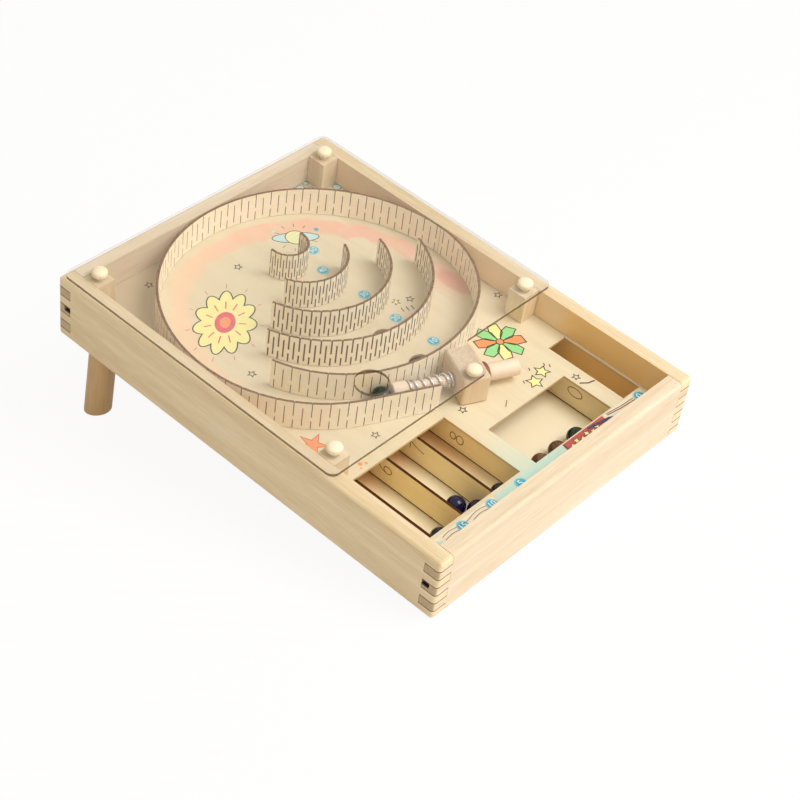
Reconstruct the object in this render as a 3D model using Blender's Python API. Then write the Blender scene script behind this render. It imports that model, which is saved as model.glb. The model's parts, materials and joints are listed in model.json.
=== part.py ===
"""Tabletop marble maze: a raised wooden box with a clear cover, slit-bent track walls and a sprung plunger.

The box is modelled square to its own axes (x across, y from the low front end to the high back end,
z out of the playfield). Everything hangs on one empty that tips the box up on its two back legs.
"""

import math

import bmesh
import bpy
from mathutils import Matrix, Vector

MM = 0.001

# Box of four finger-jointed rails
BOX_WIDTH = 260 * MM
BOX_LENGTH = 354 * MM
BOX_HEIGHT = 51 * MM
RAIL_THICKNESS = 12 * MM
RAIL_FINGERS = 7
EDGE_ROUND = 2.5 * MM
EDGE_STEPS = 3
TIP_ANGLE = math.radians(11.2)
FIT = 0.3 * MM

# Panels let into the rails
PANEL_REACH = 6 * MM
PLAYFIELD_TOP = 28 * MM
PLAYFIELD_THICKNESS = 2 * MM
BOTTOM_RISE = 1 * MM
BOTTOM_THICKNESS = 3 * MM

# Score trays under the front of the playfield; shares are of the width between the rails
TRAY_STOP_Y = 30 * MM
TRAY_WALL_THICKNESS = 2 * MM
FIRST_CHANNEL_SHARE = 0.0847
CHANNEL_SHARE = 0.1271
CHANNEL_WALLS = 4
RIGHT_TRAY_SHARE = 0.8644
LEFT_OPENING_SHARE = 0.0593
OPENING_FRONT_MARGIN = 0.5 * MM
LEFT_OPENING_FRONT_MARGIN = 2.5 * MM
LEFT_OPENING_RIGHT_MARGIN = 3 * MM
LEFT_OPENING_UNDER_COVER = 5.8 * MM
MIDDLE_OPENING_LEFT_MARGIN = 9 * MM
MIDDLE_OPENING_RIGHT_MARGIN = 1.8 * MM
MIDDLE_OPENING_BEFORE_BLOCK = 18.5 * MM
RIGHT_OPENING_LEFT_MARGIN = 10 * MM
RIGHT_OPENING_RIGHT_MARGIN = 2 * MM
RIGHT_OPENING_BEFORE_COVER = 26.5 * MM

# Slit-bent walls. Slits run in from both edges, or lie between two webs
WALL_THICKNESS = 2 * MM
LOWER_SLIT = 7.4 * MM
SLIT_BRIDGE = 3.6 * MM
LOWER_WEB = 3 * MM
UPPER_WEB = 4 * MM
TRACK_SLIT_PITCH = 6 * MM
TRACK_SLIT_SHARE = 0.165
POCKET_SLIT_SHARE = 0.34

# Track plan: bends as (radius, angle), lengths in shares of the ring's radius
RING_FROM = math.radians(-2)
RING_TO = math.radians(187)
INNER_BENDS = ((0.740, math.radians(55)), (0.938, math.radians(68)), (0.723, math.radians(39)))
OUTER_BEND = (0.861, math.radians(58))
OUTER_STRAIGHT_SHARE = 0.465
LOW_POINT_STEPS = 400

# Nested pockets, each an arc open towards the back: distance behind the ring's centre and radius, in
# shares of the ring's radius, then half sweep and slit pitch
POCKETS = (
    (0.475, 0.124, math.radians(99), 2.0 * MM),
    (0.348, 0.277, math.radians(68), 2.6 * MM),
    (0.266, 0.479, math.radians(75), 3.2 * MM),
    (0.203, 0.689, math.radians(72), 3.6 * MM),
)
DROP_HOLE_RADIUS = 9.5 * MM
DROP_HOLE_MARGIN = 2.4 * MM

# Clear cover, its posts and its pegs
COVER_THICKNESS = 3 * MM
COVER_INSET = 2 * MM
COVER_CORNER_RADIUS = 6 * MM
COVER_STEP_RADIUS = 4 * MM
COVER_BEFORE_BLOCK = 16.6 * MM
COVER_STEP_BACK = 13.7 * MM
COVER_STEP_INSET = 3.7 * MM
LOADING_HOLE_AHEAD = 9.8 * MM
LOADING_HOLE_ASIDE = 3 * MM
LOADING_HOLE_RADIUS = 12 * MM
POST_SIDE = 15 * MM
LEFT_POST_BACK = 15.8 * MM
RIGHT_POST_BACK = 11 * MM
PEG_HEAD_RADIUS = 5.7 * MM
PEG_HEAD_HEIGHT = 5 * MM
PEG_SHANK_RADIUS = 3 * MM
PEG_SHANK_LENGTH = 13 * MM
DOME_STEPS = 4

# Plunger: a turned rod through a block that stands close to the lowest point of the inner wall
BLOCK_ASIDE = 4 * MM
BLOCK_GAP = 0.5 * MM
LANE_GAP = 0.2 * MM
BLOCK_DEPTH = 19.8 * MM
BLOCK_LENGTH = 34.5 * MM
BLOCK_EDGE = 1 * MM
BLOCK_PEG_OFFSET = 13 * MM
BLOCK_PEG_BACK = 2.1 * MM
PLUNGER_HEADING = math.radians(-24.8)
ROD_RADIUS = 4 * MM
ROD_HOLE_CLEARANCE = 0.4 * MM
STRIKER_RADIUS = 6 * MM
STRIKER_LENGTH = 10.7 * MM
SPRING_SPACE = 34.2 * MM
HANDLE_RADIUS = 6.2 * MM
HANDLE_LENGTH = 26 * MM
HANDLE_BORE_DEPTH = 15 * MM
HANDLE_EDGE = 1 * MM
BUMPER_RADIUS = 8 * MM
BUMPER_THICKNESS = 3 * MM
BUMPER_EDGE = 1 * MM
BUMPER_RISE = 1.7 * MM
SPRING_WIRE = 1.6 * MM
SPRING_CLEARANCE = 0.3 * MM
SPRING_CURLS = 6
SPRING_POINTS = 10

# Back legs
LEG_RADIUS = 10 * MM
LEG_INSET = 20.5 * MM
LEG_FROM_BACK = 25 * MM
LEG_SPLAY = math.radians(5)

# Glass marbles
MARBLE_RADIUS = 7 * MM
PAIR_STEP_X = 7.7 * MM
MIDDLE_MARBLE_SHARES = (0.286, 0.484, 0.703)
MARBLE_COLOURS = ("dark", "blue", "blue", "dark", "brown", "brown", "green", "green")

ROUND_SIDES = 24
SMALL_SIDES = 16
MARBLE_RINGS = 8

ROUND_ANGLE = math.radians(40)

# Finishes: colour, roughness, metallic, transmission
FINISHES = {
    "beech": ((0.80, 0.62, 0.40), 0.55, 0, 0),
    "ply": ((0.84, 0.70, 0.49), 0.6, 0, 0),
    "birch": ((0.86, 0.74, 0.55), 0.5, 0, 0),
    "clear_acrylic": ((0.95, 0.97, 0.97), 0.03, 0, 1),
    "spring_steel": ((0.82, 0.82, 0.80), 0.3, 1, 0),
    "brown_rubber": ((0.20, 0.04, 0.03), 0.6, 0, 0),
    "blue_glass": ((0.02, 0.03, 0.20), 0.05, 0, 0),
    "dark_glass": ((0.02, 0.02, 0.04), 0.05, 0, 0),
    "brown_glass": ((0.10, 0.05, 0.02), 0.05, 0, 0),
    "green_glass": ((0.02, 0.08, 0.04), 0.05, 0, 0),
}

# Worked out from the sizes above
PLAYFIELD_UNDER = PLAYFIELD_TOP - PLAYFIELD_THICKNESS
FLOOR_TOP = BOTTOM_RISE + BOTTOM_THICKNESS
STAND_BOTTOM = PLAYFIELD_TOP + FIT
STAND_HEIGHT = BOX_HEIGHT - STAND_BOTTOM
COVER_BOTTOM = BOX_HEIGHT + FIT
COVER_TOP = COVER_BOTTOM + COVER_THICKNESS
RING_RADIUS = BOX_WIDTH / 2 - RAIL_THICKNESS - FIT - WALL_THICKNESS / 2
RING_CENTRE = Vector((BOX_WIDTH / 2, BOX_LENGTH - RAIL_THICKNESS - FIT - WALL_THICKNESS / 2 - RING_RADIUS))
PLUNGER_HEIGHT = PLAYFIELD_TOP + BUMPER_RISE + BUMPER_RADIUS
PLUNGER_ALONG = Vector((math.cos(PLUNGER_HEADING), math.sin(PLUNGER_HEADING)))
PLUNGER_ACROSS = Vector((-PLUNGER_ALONG.y, PLUNGER_ALONG.x))
BLOCK_HALF_RISE = (BLOCK_LENGTH * PLUNGER_ALONG.x - BLOCK_DEPTH * PLUNGER_ALONG.y) / 2
STRIKER_TIP = BLOCK_DEPTH / 2 + SPRING_SPACE + STRIKER_LENGTH
LANE_MARBLE_REACH = STRIKER_TIP + FIT + MARBLE_RADIUS


def clear_scene():
    for old in list(bpy.data.objects):
        bpy.data.objects.remove(old, do_unlink=True)


def finish(name, colour, roughness, metallic, transmission):
    """A material with one plain surface."""
    look = bpy.data.materials.new(name)
    look.use_nodes = True
    surface = look.node_tree.nodes["Principled BSDF"].inputs
    surface["Base Color"].default_value = (*colour, 1.0)
    surface["Roughness"].default_value = roughness
    surface["Metallic"].default_value = metallic
    surface["Transmission Weight"].default_value = transmission
    return look


def add_object(name, shape, look, parent, place=(0, 0, 0), turn=(0, 0, 0)):
    """Makes one object of a finished bmesh, in its parent's frame."""
    bmesh.ops.recalc_face_normals(shape, faces=shape.faces)
    mesh = bpy.data.meshes.new(name)
    shape.to_mesh(mesh)
    shape.free()
    part = bpy.data.objects.new(name, mesh)
    bpy.context.scene.collection.objects.link(part)
    part.parent = parent
    part.location = place
    part.rotation_euler = turn
    if look:
        mesh.materials.append(look)
    return part


def add_empty(name, parent, place=(0, 0, 0), turn=(0, 0, 0)):
    empty = bpy.data.objects.new(name, None)
    bpy.context.scene.collection.objects.link(empty)
    empty.parent = parent
    empty.location = place
    empty.rotation_euler = turn
    return empty


def add_cutter(name, shape, parent, place=(0, 0, 0), turn=(0, 0, 0)):
    cutter = add_object(name, shape, None, parent, place, turn)
    cutter.hide_render = True
    cutter.display_type = "WIRE"
    return cutter


def cut(part, cutter, operation="DIFFERENCE"):
    step = part.modifiers.new(cutter.name, "BOOLEAN")
    step.operation = operation
    step.object = cutter
    step.solver = "EXACT"


def shade_round(part):
    part.data.shade_smooth()
    part.data.set_sharp_from_angle(angle=ROUND_ANGLE)


def add_prism(shape, outline, low, high):
    """Extrudes a closed outline, given counterclockwise, from one height to another."""
    lower = [shape.verts.new((x, y, low)) for x, y in outline]
    upper = [shape.verts.new((x, y, high)) for x, y in outline]
    shape.faces.new(lower[::-1])
    shape.faces.new(upper)
    for i in range(len(outline)):
        shape.faces.new((lower[i - 1], lower[i], upper[i], upper[i - 1]))


def add_box(shape, low, high):
    outline = ((low[0], low[1]), (high[0], low[1]), (high[0], high[1]), (low[0], high[1]))
    add_prism(shape, outline, low[2], high[2])


def circle(centre, radius, sides):
    angles = [2 * math.pi * i / sides for i in range(sides)]
    return [(centre[0] + radius * math.cos(a), centre[1] + radius * math.sin(a)) for a in angles]


def rounded(corners, steps):
    """The outline through corners given as (x, y, radius), each turned into an arc."""
    outline = []
    for i, (x, y, radius) in enumerate(corners):
        corner = Vector((x, y))
        before = (Vector(corners[i - 1][:2]) - corner).normalized()
        after = (Vector(corners[(i + 1) % len(corners)][:2]) - corner).normalized()
        half = before.angle(after) / 2
        centre = corner + (before + after).normalized() * radius / math.sin(half)
        start = corner + before * radius / math.tan(half) - centre
        end = corner + after * radius / math.tan(half) - centre
        first = math.atan2(start.y, start.x)
        sweep = (math.atan2(end.y, end.x) - first + math.pi) % (2 * math.pi) - math.pi
        for k in range(steps + 1):
            angle = first + sweep * k / steps
            outline.append((centre.x + radius * math.cos(angle), centre.y + radius * math.sin(angle)))
    return outline


def turned(profile, sides):
    """Revolves (radius, z) points about z. A point of radius 0 closes an end; a closed ring has none."""
    shape = bmesh.new()
    rings = []
    for radius, z in profile:
        if radius == 0:
            rings.append([shape.verts.new((0, 0, z))] * sides)
        else:
            rings.append([shape.verts.new((x, y, z)) for x, y in circle((0, 0), radius, sides)])
    for lower, upper in zip(rings, rings[1:] + rings[:1]):
        for i in range(sides):
            corners = dict.fromkeys((lower[i - 1], lower[i], upper[i], upper[i - 1]))
            if len(corners) > 2:
                shape.faces.new(corners)
    return shape


def comb_outline(length, own_first):
    """A rail seen from its side: length along x, height along y, with half of the fingers at each end."""
    pitch = BOX_HEIGHT / RAIL_FINGERS
    end = []
    for k in range(RAIL_FINGERS):
        own = k % 2 == own_first
        reach = 0 if own else RAIL_THICKNESS + FIT
        slack = FIT / 2 if own else -FIT / 2
        low = k * pitch + slack if k else 0
        high = (k + 1) * pitch - slack if k < RAIL_FINGERS - 1 else BOX_HEIGHT
        end += [(reach, low), (reach, high)]
    return [(length - x, z) for x, z in end] + end[::-1]


def make_rail(name, length, own_first, look, parent, place, heading):
    """One rail: x along it, y from its inner to its outer face."""
    shape = bmesh.new()
    add_prism(shape, comb_outline(length, own_first), -RAIL_THICKNESS, 0)
    upright = Matrix.Rotation(math.pi / 2, 3, "X")
    bmesh.ops.rotate(shape, verts=shape.verts, matrix=upright)
    return add_object(name, shape, look, parent, place, (0, 0, heading))


def make_box(root, look):
    """Four rails with finger joints, grooved for both panels and rounded outside as one box."""
    inner = RAIL_THICKNESS
    rails = {
        "rail_back": (BOX_WIDTH, 1, (0, BOX_LENGTH - inner, 0), 0),
        "rail_left": (BOX_LENGTH, 0, (inner, 0, 0), math.pi / 2),
        "rail_front": (BOX_WIDTH, 1, (BOX_WIDTH, inner, 0), math.pi),
        "rail_right": (BOX_LENGTH, 0, (BOX_WIDTH - inner, BOX_LENGTH, 0), -math.pi / 2),
    }
    rails = {name: make_rail(name, *spec[:2], look, root, *spec[2:]) for name, spec in rails.items()}

    shell = bmesh.new()
    add_box(shell, (0, 0, 0), (BOX_WIDTH, BOX_LENGTH, BOX_HEIGHT))
    bmesh.ops.bevel(
        shell, geom=shell.edges, offset=EDGE_ROUND, segments=EDGE_STEPS, profile=0.5, affect="EDGES"
    )
    shell = add_cutter("box_shell", shell, root)

    side = RAIL_THICKNESS - PANEL_REACH
    low, high = PLAYFIELD_UNDER - FIT, PLAYFIELD_TOP + FIT
    groove = bmesh.new()
    add_box(groove, (side, side, low), (BOX_WIDTH - side, BOX_LENGTH - side, high))
    groove = add_cutter("side_groove", groove, root)
    through = bmesh.new()
    add_box(through, (-side, side, low), (BOX_WIDTH + side, BOX_LENGTH - side, high))
    through = add_cutter("end_groove", through, root)
    rebate = bmesh.new()
    add_box(rebate, (side, side, -side), (BOX_WIDTH - side, BOX_LENGTH - side, FLOOR_TOP + FIT))
    rebate = add_cutter("bottom_rebate", rebate, root)

    for name, rail in rails.items():
        cut(rail, groove if name in ("rail_left", "rail_right") else through)
        cut(rail, rebate)
        cut(rail, shell, "INTERSECT")


def across_trays(share):
    """A place across the box, given as a share of the width between the rails."""
    return RAIL_THICKNESS + share * (BOX_WIDTH - 2 * RAIL_THICKNESS)


def tray_walls():
    """Left faces of the walls between the channels, then of the one before the right tray."""
    shares = [FIRST_CHANNEL_SHARE + i * CHANNEL_SHARE for i in range(CHANNEL_WALLS)]
    return [across_trays(share) for share in (*shares, RIGHT_TRAY_SHARE)]


def tray_openings():
    """The three openings of the playfield over the trays: low corner and high corner of each."""
    walls = tray_walls()
    block_front = block_centre().y - BLOCK_HALF_RISE
    front = TRAY_STOP_Y + OPENING_FRONT_MARGIN
    left = (
        (across_trays(LEFT_OPENING_SHARE), TRAY_STOP_Y + LEFT_OPENING_FRONT_MARGIN),
        (walls[-2] - LEFT_OPENING_RIGHT_MARGIN, cover_fronts()[0] + LEFT_OPENING_UNDER_COVER),
    )
    middle = (
        (walls[-2] + TRAY_WALL_THICKNESS + MIDDLE_OPENING_LEFT_MARGIN, front),
        (walls[-1] - MIDDLE_OPENING_RIGHT_MARGIN, block_front - MIDDLE_OPENING_BEFORE_BLOCK),
    )
    right = (
        (walls[-1] + TRAY_WALL_THICKNESS + RIGHT_OPENING_LEFT_MARGIN, front),
        (across_trays(1) - RIGHT_OPENING_RIGHT_MARGIN, cover_fronts()[1] - RIGHT_OPENING_BEFORE_COVER),
    )
    return left, middle, right


def drop_holes():
    """Centres of the holes behind the lowest point of the inner wall and of each pocket."""
    low = inner_low_point()
    lows = [low.y] + [RING_CENTRE.y + (back - radius) * RING_RADIUS for back, radius, *_ in POCKETS]
    behind = WALL_THICKNESS / 2 + DROP_HOLE_MARGIN + DROP_HOLE_RADIUS
    return [(low.x, y + behind) for y in lows]


def make_panels(root, look):
    """The bottom panel and the playfield with its tray openings and drop holes."""
    side = RAIL_THICKNESS - PANEL_REACH + FIT
    bottom = bmesh.new()
    add_box(bottom, (side, side, BOTTOM_RISE), (BOX_WIDTH - side, BOX_LENGTH - side, FLOOR_TOP))
    add_object("bottom_panel", bottom, look, root)

    playfield = bmesh.new()
    add_box(playfield, (side, side, PLAYFIELD_UNDER), (BOX_WIDTH - side, BOX_LENGTH - side, PLAYFIELD_TOP))
    playfield = add_object("playfield", playfield, look, root)
    low, high = FLOOR_TOP, BOX_HEIGHT
    openings = bmesh.new()
    for near, far in tray_openings():
        add_box(openings, (*near, low), (*far, high))
    for centre in drop_holes():
        add_prism(openings, circle(centre, DROP_HOLE_RADIUS, ROUND_SIDES), low, high)
    cut(playfield, add_cutter("playfield_openings", openings, root))


def make_trays(root, look):
    """The stop behind the front rail and the walls that lead to it from below the lowest drop hole."""
    low, high = FLOOR_TOP + FIT, PLAYFIELD_UNDER - FIT
    left = RAIL_THICKNESS + FIT
    stop = bmesh.new()
    add_box(stop, (left, TRAY_STOP_Y - TRAY_WALL_THICKNESS, low), (BOX_WIDTH - left, TRAY_STOP_Y, high))
    add_object("tray_stop", stop, look, root)
    end = drop_holes()[0][1] - DROP_HOLE_RADIUS
    for i, x in enumerate(tray_walls()):
        wall = bmesh.new()
        add_box(wall, (0, TRAY_STOP_Y + FIT, low), (TRAY_WALL_THICKNESS, end, high))
        add_object(f"tray_wall_{i + 1}", wall, look, root, (x, 0, 0))


def arc_path(radius, start):
    """A path round the origin, counterclockwise: distance along it to point and outward normal."""

    def at(distance):
        angle = start + distance / radius
        normal = Vector((math.cos(angle), math.sin(angle)))
        return normal * radius, normal

    return at


def bend_path(start, heading, bends):
    """A path of tangent bends, each given as (length, turn): distance along it to point and left normal."""

    def at(distance):
        point, angle = Vector(start), heading
        for length, turn in bends:
            step = min(distance, length)
            swing = turn * step / length
            if turn:
                radius = length / turn
                across = math.sin(angle + swing) - math.sin(angle)
                along = math.cos(angle) - math.cos(angle + swing)
                point += Vector((across, along)) * radius
            else:
                point += Vector((math.cos(angle), math.sin(angle))) * step
            angle += swing
            distance -= step
        return point, Vector((-math.sin(angle), math.cos(angle)))

    return at


def slit_strip(path, length, pitch, slit_share):
    """A ply strip on edge, cut with staggered slits so that it bends along the path.

    Odd slits run in from both edges and leave a bridge; even ones lie between two webs.
    """
    shape = bmesh.new()
    from_edges = (0, LOWER_SLIT, LOWER_SLIT + SLIT_BRIDGE, STAND_HEIGHT)
    between = (0, LOWER_WEB, STAND_HEIGHT - UPPER_WEB, STAND_HEIGHT)
    count = int(length / pitch)
    first = (length - (count - 1) * pitch) / 2
    half_slit = slit_share * pitch / 2
    stations = [(0, from_edges)]
    for i in range(count):
        levels = between if i % 2 else from_edges
        stations += [(first + i * pitch + side * half_slit, levels) for side in (-1, 1)]
    stations.append((length, stations[-1][1]))

    rows = []
    for distance, levels in stations:
        point, normal = path(distance)
        row = []
        for offset in (WALL_THICKNESS / 2, -WALL_THICKNESS / 2):
            x, y = point + normal * offset
            row.append([shape.verts.new((x, y, z)) for z in levels])
        rows.append(row)

    def quad(*corners):
        shape.faces.new(corners)

    for i, (here, there) in enumerate(zip(rows, rows[1:])):
        solid = (True, True, True)
        if i % 2:
            solid = (False, True, False) if stations[i][1] is from_edges else (True, False, True)
        for k, filled in enumerate(solid):
            if filled:
                for side in (0, 1):
                    quad(here[side][k], there[side][k], there[side][k + 1], here[side][k + 1])
            else:
                for row in (here, there):
                    quad(row[0][k], row[1][k], row[1][k + 1], row[0][k + 1])
        for k, (below, above) in enumerate(zip((False, *solid), (*solid, False))):
            if below != above:
                quad(here[0][k], there[0][k], there[1][k], here[1][k])
    for front, back in (rows[0], rows[-1]):
        for k in range(len(from_edges) - 1):
            quad(front[k], back[k], back[k + 1], front[k + 1])
    return shape


def ring_point(angle):
    return RING_RADIUS * Vector((math.cos(angle), math.sin(angle)))


def inner_path():
    """The inner wall's path from the ring's right end, seen from the ring's centre, and its length."""
    bends = [(share * RING_RADIUS * turn, -turn) for share, turn in INNER_BENDS]
    start = RING_FROM - FIT / RING_RADIUS
    return bend_path(ring_point(start), start - math.pi / 2, bends), sum(length for length, _ in bends)


def outer_path():
    """The outer wall's path from the ring's left end, seen from the ring's centre, and its length."""
    radius, turn = OUTER_BEND
    bends = ((radius * RING_RADIUS * turn, turn), (OUTER_STRAIGHT_SHARE * RING_RADIUS, 0))
    start = RING_TO + FIT / RING_RADIUS
    return bend_path(ring_point(start), start + math.pi / 2, bends), sum(length for length, _ in bends)


def inner_low_point():
    """Where a marble that rolls down the inner wall comes to rest."""
    path, length = inner_path()
    points = (path(length * i / LOW_POINT_STEPS)[0] for i in range(LOW_POINT_STEPS + 1))
    return RING_CENTRE + min(points, key=lambda point: point.y)


def make_track(root, look):
    """The ring, the inner wall that curls in from it, and the outer wall that runs on to the plunger."""
    place = (*RING_CENTRE, STAND_BOTTOM)
    ring = arc_path(RING_RADIUS, RING_FROM), RING_RADIUS * (RING_TO - RING_FROM)
    for name, (path, length) in {"ring": ring, "inner": inner_path(), "outer": outer_path()}.items():
        strip = slit_strip(path, length, TRACK_SLIT_PITCH, TRACK_SLIT_SHARE)
        add_object(f"track_wall_{name}", strip, look, root, place)


def make_pockets(root, look):
    x = inner_low_point().x
    for i, (back, share, half_sweep, pitch) in enumerate(POCKETS):
        radius = share * RING_RADIUS
        path = arc_path(radius, -math.pi / 2 - half_sweep)
        strip = slit_strip(path, 2 * half_sweep * radius, pitch, POCKET_SLIT_SHARE)
        place = (x, RING_CENTRE.y + back * RING_RADIUS, STAND_BOTTOM)
        add_object(f"pocket_wall_{i + 1}", strip, look, root, place)


def block_centre():
    """The block's middle: its back corner and the marble in the lane both stand clear of the inner wall."""
    block_drop = WALL_THICKNESS / 2 + BLOCK_GAP + BLOCK_HALF_RISE
    bend = INNER_BENDS[1][0] * RING_RADIUS
    marble = Vector((BLOCK_ASIDE, 0)) - PLUNGER_ALONG * LANE_MARBLE_REACH
    apart = bend + WALL_THICKNESS / 2 + LANE_GAP + MARBLE_RADIUS
    marble_drop = marble.y + math.sqrt(apart**2 - marble.x**2) - bend
    return inner_low_point() + Vector((BLOCK_ASIDE, -max(block_drop, marble_drop)))


def block_peg():
    """Where the fifth peg stands, near the block's front end."""
    return block_centre() - PLUNGER_ACROSS * BLOCK_PEG_OFFSET - PLUNGER_ALONG * BLOCK_PEG_BACK


def lane_marble():
    """Where a marble waits in the lane, against the striker."""
    return block_centre() - PLUNGER_ALONG * LANE_MARBLE_REACH


def loading_hole():
    return lane_marble() - PLUNGER_ALONG * LOADING_HOLE_AHEAD - PLUNGER_ACROSS * LOADING_HOLE_ASIDE


def cover_fronts():
    """The cover's front edge left of the plunger block, and right of it."""
    y = block_centre().y
    return y - COVER_BEFORE_BLOCK, y + COVER_STEP_BACK


def post_places():
    near = RAIL_THICKNESS + FIT + POST_SIDE / 2
    left, right, back = near, BOX_WIDTH - near, BOX_LENGTH - near
    return {
        "back_left": (left, back),
        "back_right": (right, back),
        "front_left": (left, cover_fronts()[0] + LEFT_POST_BACK),
        "front_right": (right, cover_fronts()[1] + RIGHT_POST_BACK),
    }


def peg_hole(low, high):
    shape = bmesh.new()
    add_prism(shape, circle((0, 0), PEG_SHANK_RADIUS + FIT, SMALL_SIDES), low, high)
    return shape


def make_posts(root, look):
    """Square posts in the corners of the covered part, bored for the pegs."""
    half = POST_SIDE / 2
    depth = PEG_SHANK_LENGTH - COVER_THICKNESS
    for name, (x, y) in post_places().items():
        post = bmesh.new()
        add_box(post, (-half, -half, 0), (half, half, STAND_HEIGHT))
        post = add_object(f"post_{name}", post, look, root, (x, y, STAND_BOTTOM))
        hole = peg_hole(BOX_HEIGHT - depth, COVER_TOP)
        cut(post, add_cutter(f"post_hole_{name}", hole, root, (x, y, 0)))


def make_pegs(root, look):
    """Mushroom pegs that hold the cover down on the posts and on the plunger block."""
    head = COVER_TOP + FIT
    dome = []
    for k in range(1, DOME_STEPS + 1):
        angle = math.pi / 2 * k / DOME_STEPS
        rise = PEG_HEAD_HEIGHT / 2 * (1 + math.sin(angle))
        dome.append((PEG_HEAD_RADIUS * math.cos(angle) if k < DOME_STEPS else 0, rise))
    places = {**post_places(), "plunger_block": block_peg()}
    for name, (x, y) in places.items():
        profile = [
            (0, -PEG_SHANK_LENGTH),
            (PEG_SHANK_RADIUS, -PEG_SHANK_LENGTH),
            (PEG_SHANK_RADIUS, 0),
            (PEG_HEAD_RADIUS, 0),
            (PEG_HEAD_RADIUS, PEG_HEAD_HEIGHT / 2),
            *dome,
        ]
        peg = add_object(f"peg_{name}", turned(profile, SMALL_SIDES), look, root, (x, y, head))
        shade_round(peg)


def make_cover(root, look):
    """The clear sheet over the track, stepped back beside the plunger, with its loading hole."""
    left, right, back = COVER_INSET, BOX_WIDTH - COVER_INSET, BOX_LENGTH - COVER_INSET
    near, step = cover_fronts()
    edge = block_centre() + PLUNGER_ALONG * (BLOCK_DEPTH / 2 - COVER_STEP_INSET)
    lean = PLUNGER_ACROSS.x / PLUNGER_ACROSS.y
    corners = (
        (left, near, COVER_CORNER_RADIUS),
        (edge.x + (near - edge.y) * lean, near, COVER_STEP_RADIUS),
        (edge.x + (step - edge.y) * lean, step, COVER_STEP_RADIUS),
        (right, step, COVER_CORNER_RADIUS),
        (right, back, COVER_CORNER_RADIUS),
        (left, back, COVER_CORNER_RADIUS),
    )
    sheet = bmesh.new()
    add_prism(sheet, rounded(corners, EDGE_STEPS), COVER_BOTTOM, COVER_TOP)
    sheet = add_object("cover", sheet, look, root)
    holes = bmesh.new()
    span = (PLAYFIELD_TOP, COVER_TOP + COVER_THICKNESS)
    add_prism(holes, circle(loading_hole(), LOADING_HOLE_RADIUS, ROUND_SIDES), *span)
    for place in [*post_places().values(), block_peg()]:
        add_prism(holes, circle(place, PEG_SHANK_RADIUS + FIT, SMALL_SIDES), *span)
    cut(sheet, add_cutter("cover_holes", holes, root))


def make_block(root, axis, look):
    """The block that guides the plunger and carries one peg."""
    block = bmesh.new()
    half = (BLOCK_DEPTH / 2, BLOCK_LENGTH / 2)
    add_box(block, (-half[0], -half[1], 0), (*half, STAND_HEIGHT))
    bmesh.ops.bevel(block, geom=block.edges, offset=BLOCK_EDGE, segments=1, affect="EDGES")
    place = (*block_centre(), STAND_BOTTOM)
    block = add_object("plunger_block", block, look, root, place, (0, 0, PLUNGER_HEADING))
    guide = bmesh.new()
    add_prism(guide, circle((0, 0), ROD_RADIUS + ROD_HOLE_CLEARANCE, ROUND_SIDES), -BLOCK_DEPTH, BLOCK_DEPTH)
    cut(block, add_cutter("guide_hole", guide, axis))
    depth = PEG_SHANK_LENGTH - COVER_THICKNESS
    hole = peg_hole(BOX_HEIGHT - depth, COVER_TOP)
    cut(block, add_cutter("block_peg_hole", hole, root, (*block_peg(), 0)))


def make_plunger(axis, wood, rubber):
    """Striker and rod in one turning, a rubber bumper, and a handle behind the block. z runs to the handle."""
    face = BLOCK_DEPTH / 2
    spring_end = -face - SPRING_SPACE
    bumper = face + FIT
    handle = bumper + BUMPER_THICKNESS + FIT
    rod_end = handle + HANDLE_BORE_DEPTH - FIT
    edge = HANDLE_EDGE
    tip = -STRIKER_TIP
    rod = [
        (0, tip),
        (STRIKER_RADIUS - edge, tip),
        (STRIKER_RADIUS, tip + edge),
        (STRIKER_RADIUS, spring_end),
        (ROD_RADIUS, spring_end),
        (ROD_RADIUS, rod_end),
        (0, rod_end),
    ]
    shade_round(add_object("plunger_rod", turned(rod, ROUND_SIDES), wood, axis))

    bore = ROD_RADIUS + FIT
    end = handle + HANDLE_LENGTH
    grip = [
        (0, handle + HANDLE_BORE_DEPTH),
        (bore, handle + HANDLE_BORE_DEPTH),
        (bore, handle),
        (HANDLE_RADIUS - edge, handle),
        (HANDLE_RADIUS, handle + edge),
        (HANDLE_RADIUS, end - edge),
        (HANDLE_RADIUS - edge, end),
        (0, end),
    ]
    shade_round(add_object("plunger_handle", turned(grip, ROUND_SIDES), wood, axis))

    top = bumper + BUMPER_THICKNESS
    ring = [
        (bore, bumper),
        (BUMPER_RADIUS - BUMPER_EDGE, bumper),
        (BUMPER_RADIUS, bumper + BUMPER_EDGE),
        (BUMPER_RADIUS, top - BUMPER_EDGE),
        (BUMPER_RADIUS - BUMPER_EDGE, top),
        (bore, top),
    ]
    shade_round(add_object("plunger_bumper", turned(ring, ROUND_SIDES), rubber, axis))


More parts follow.
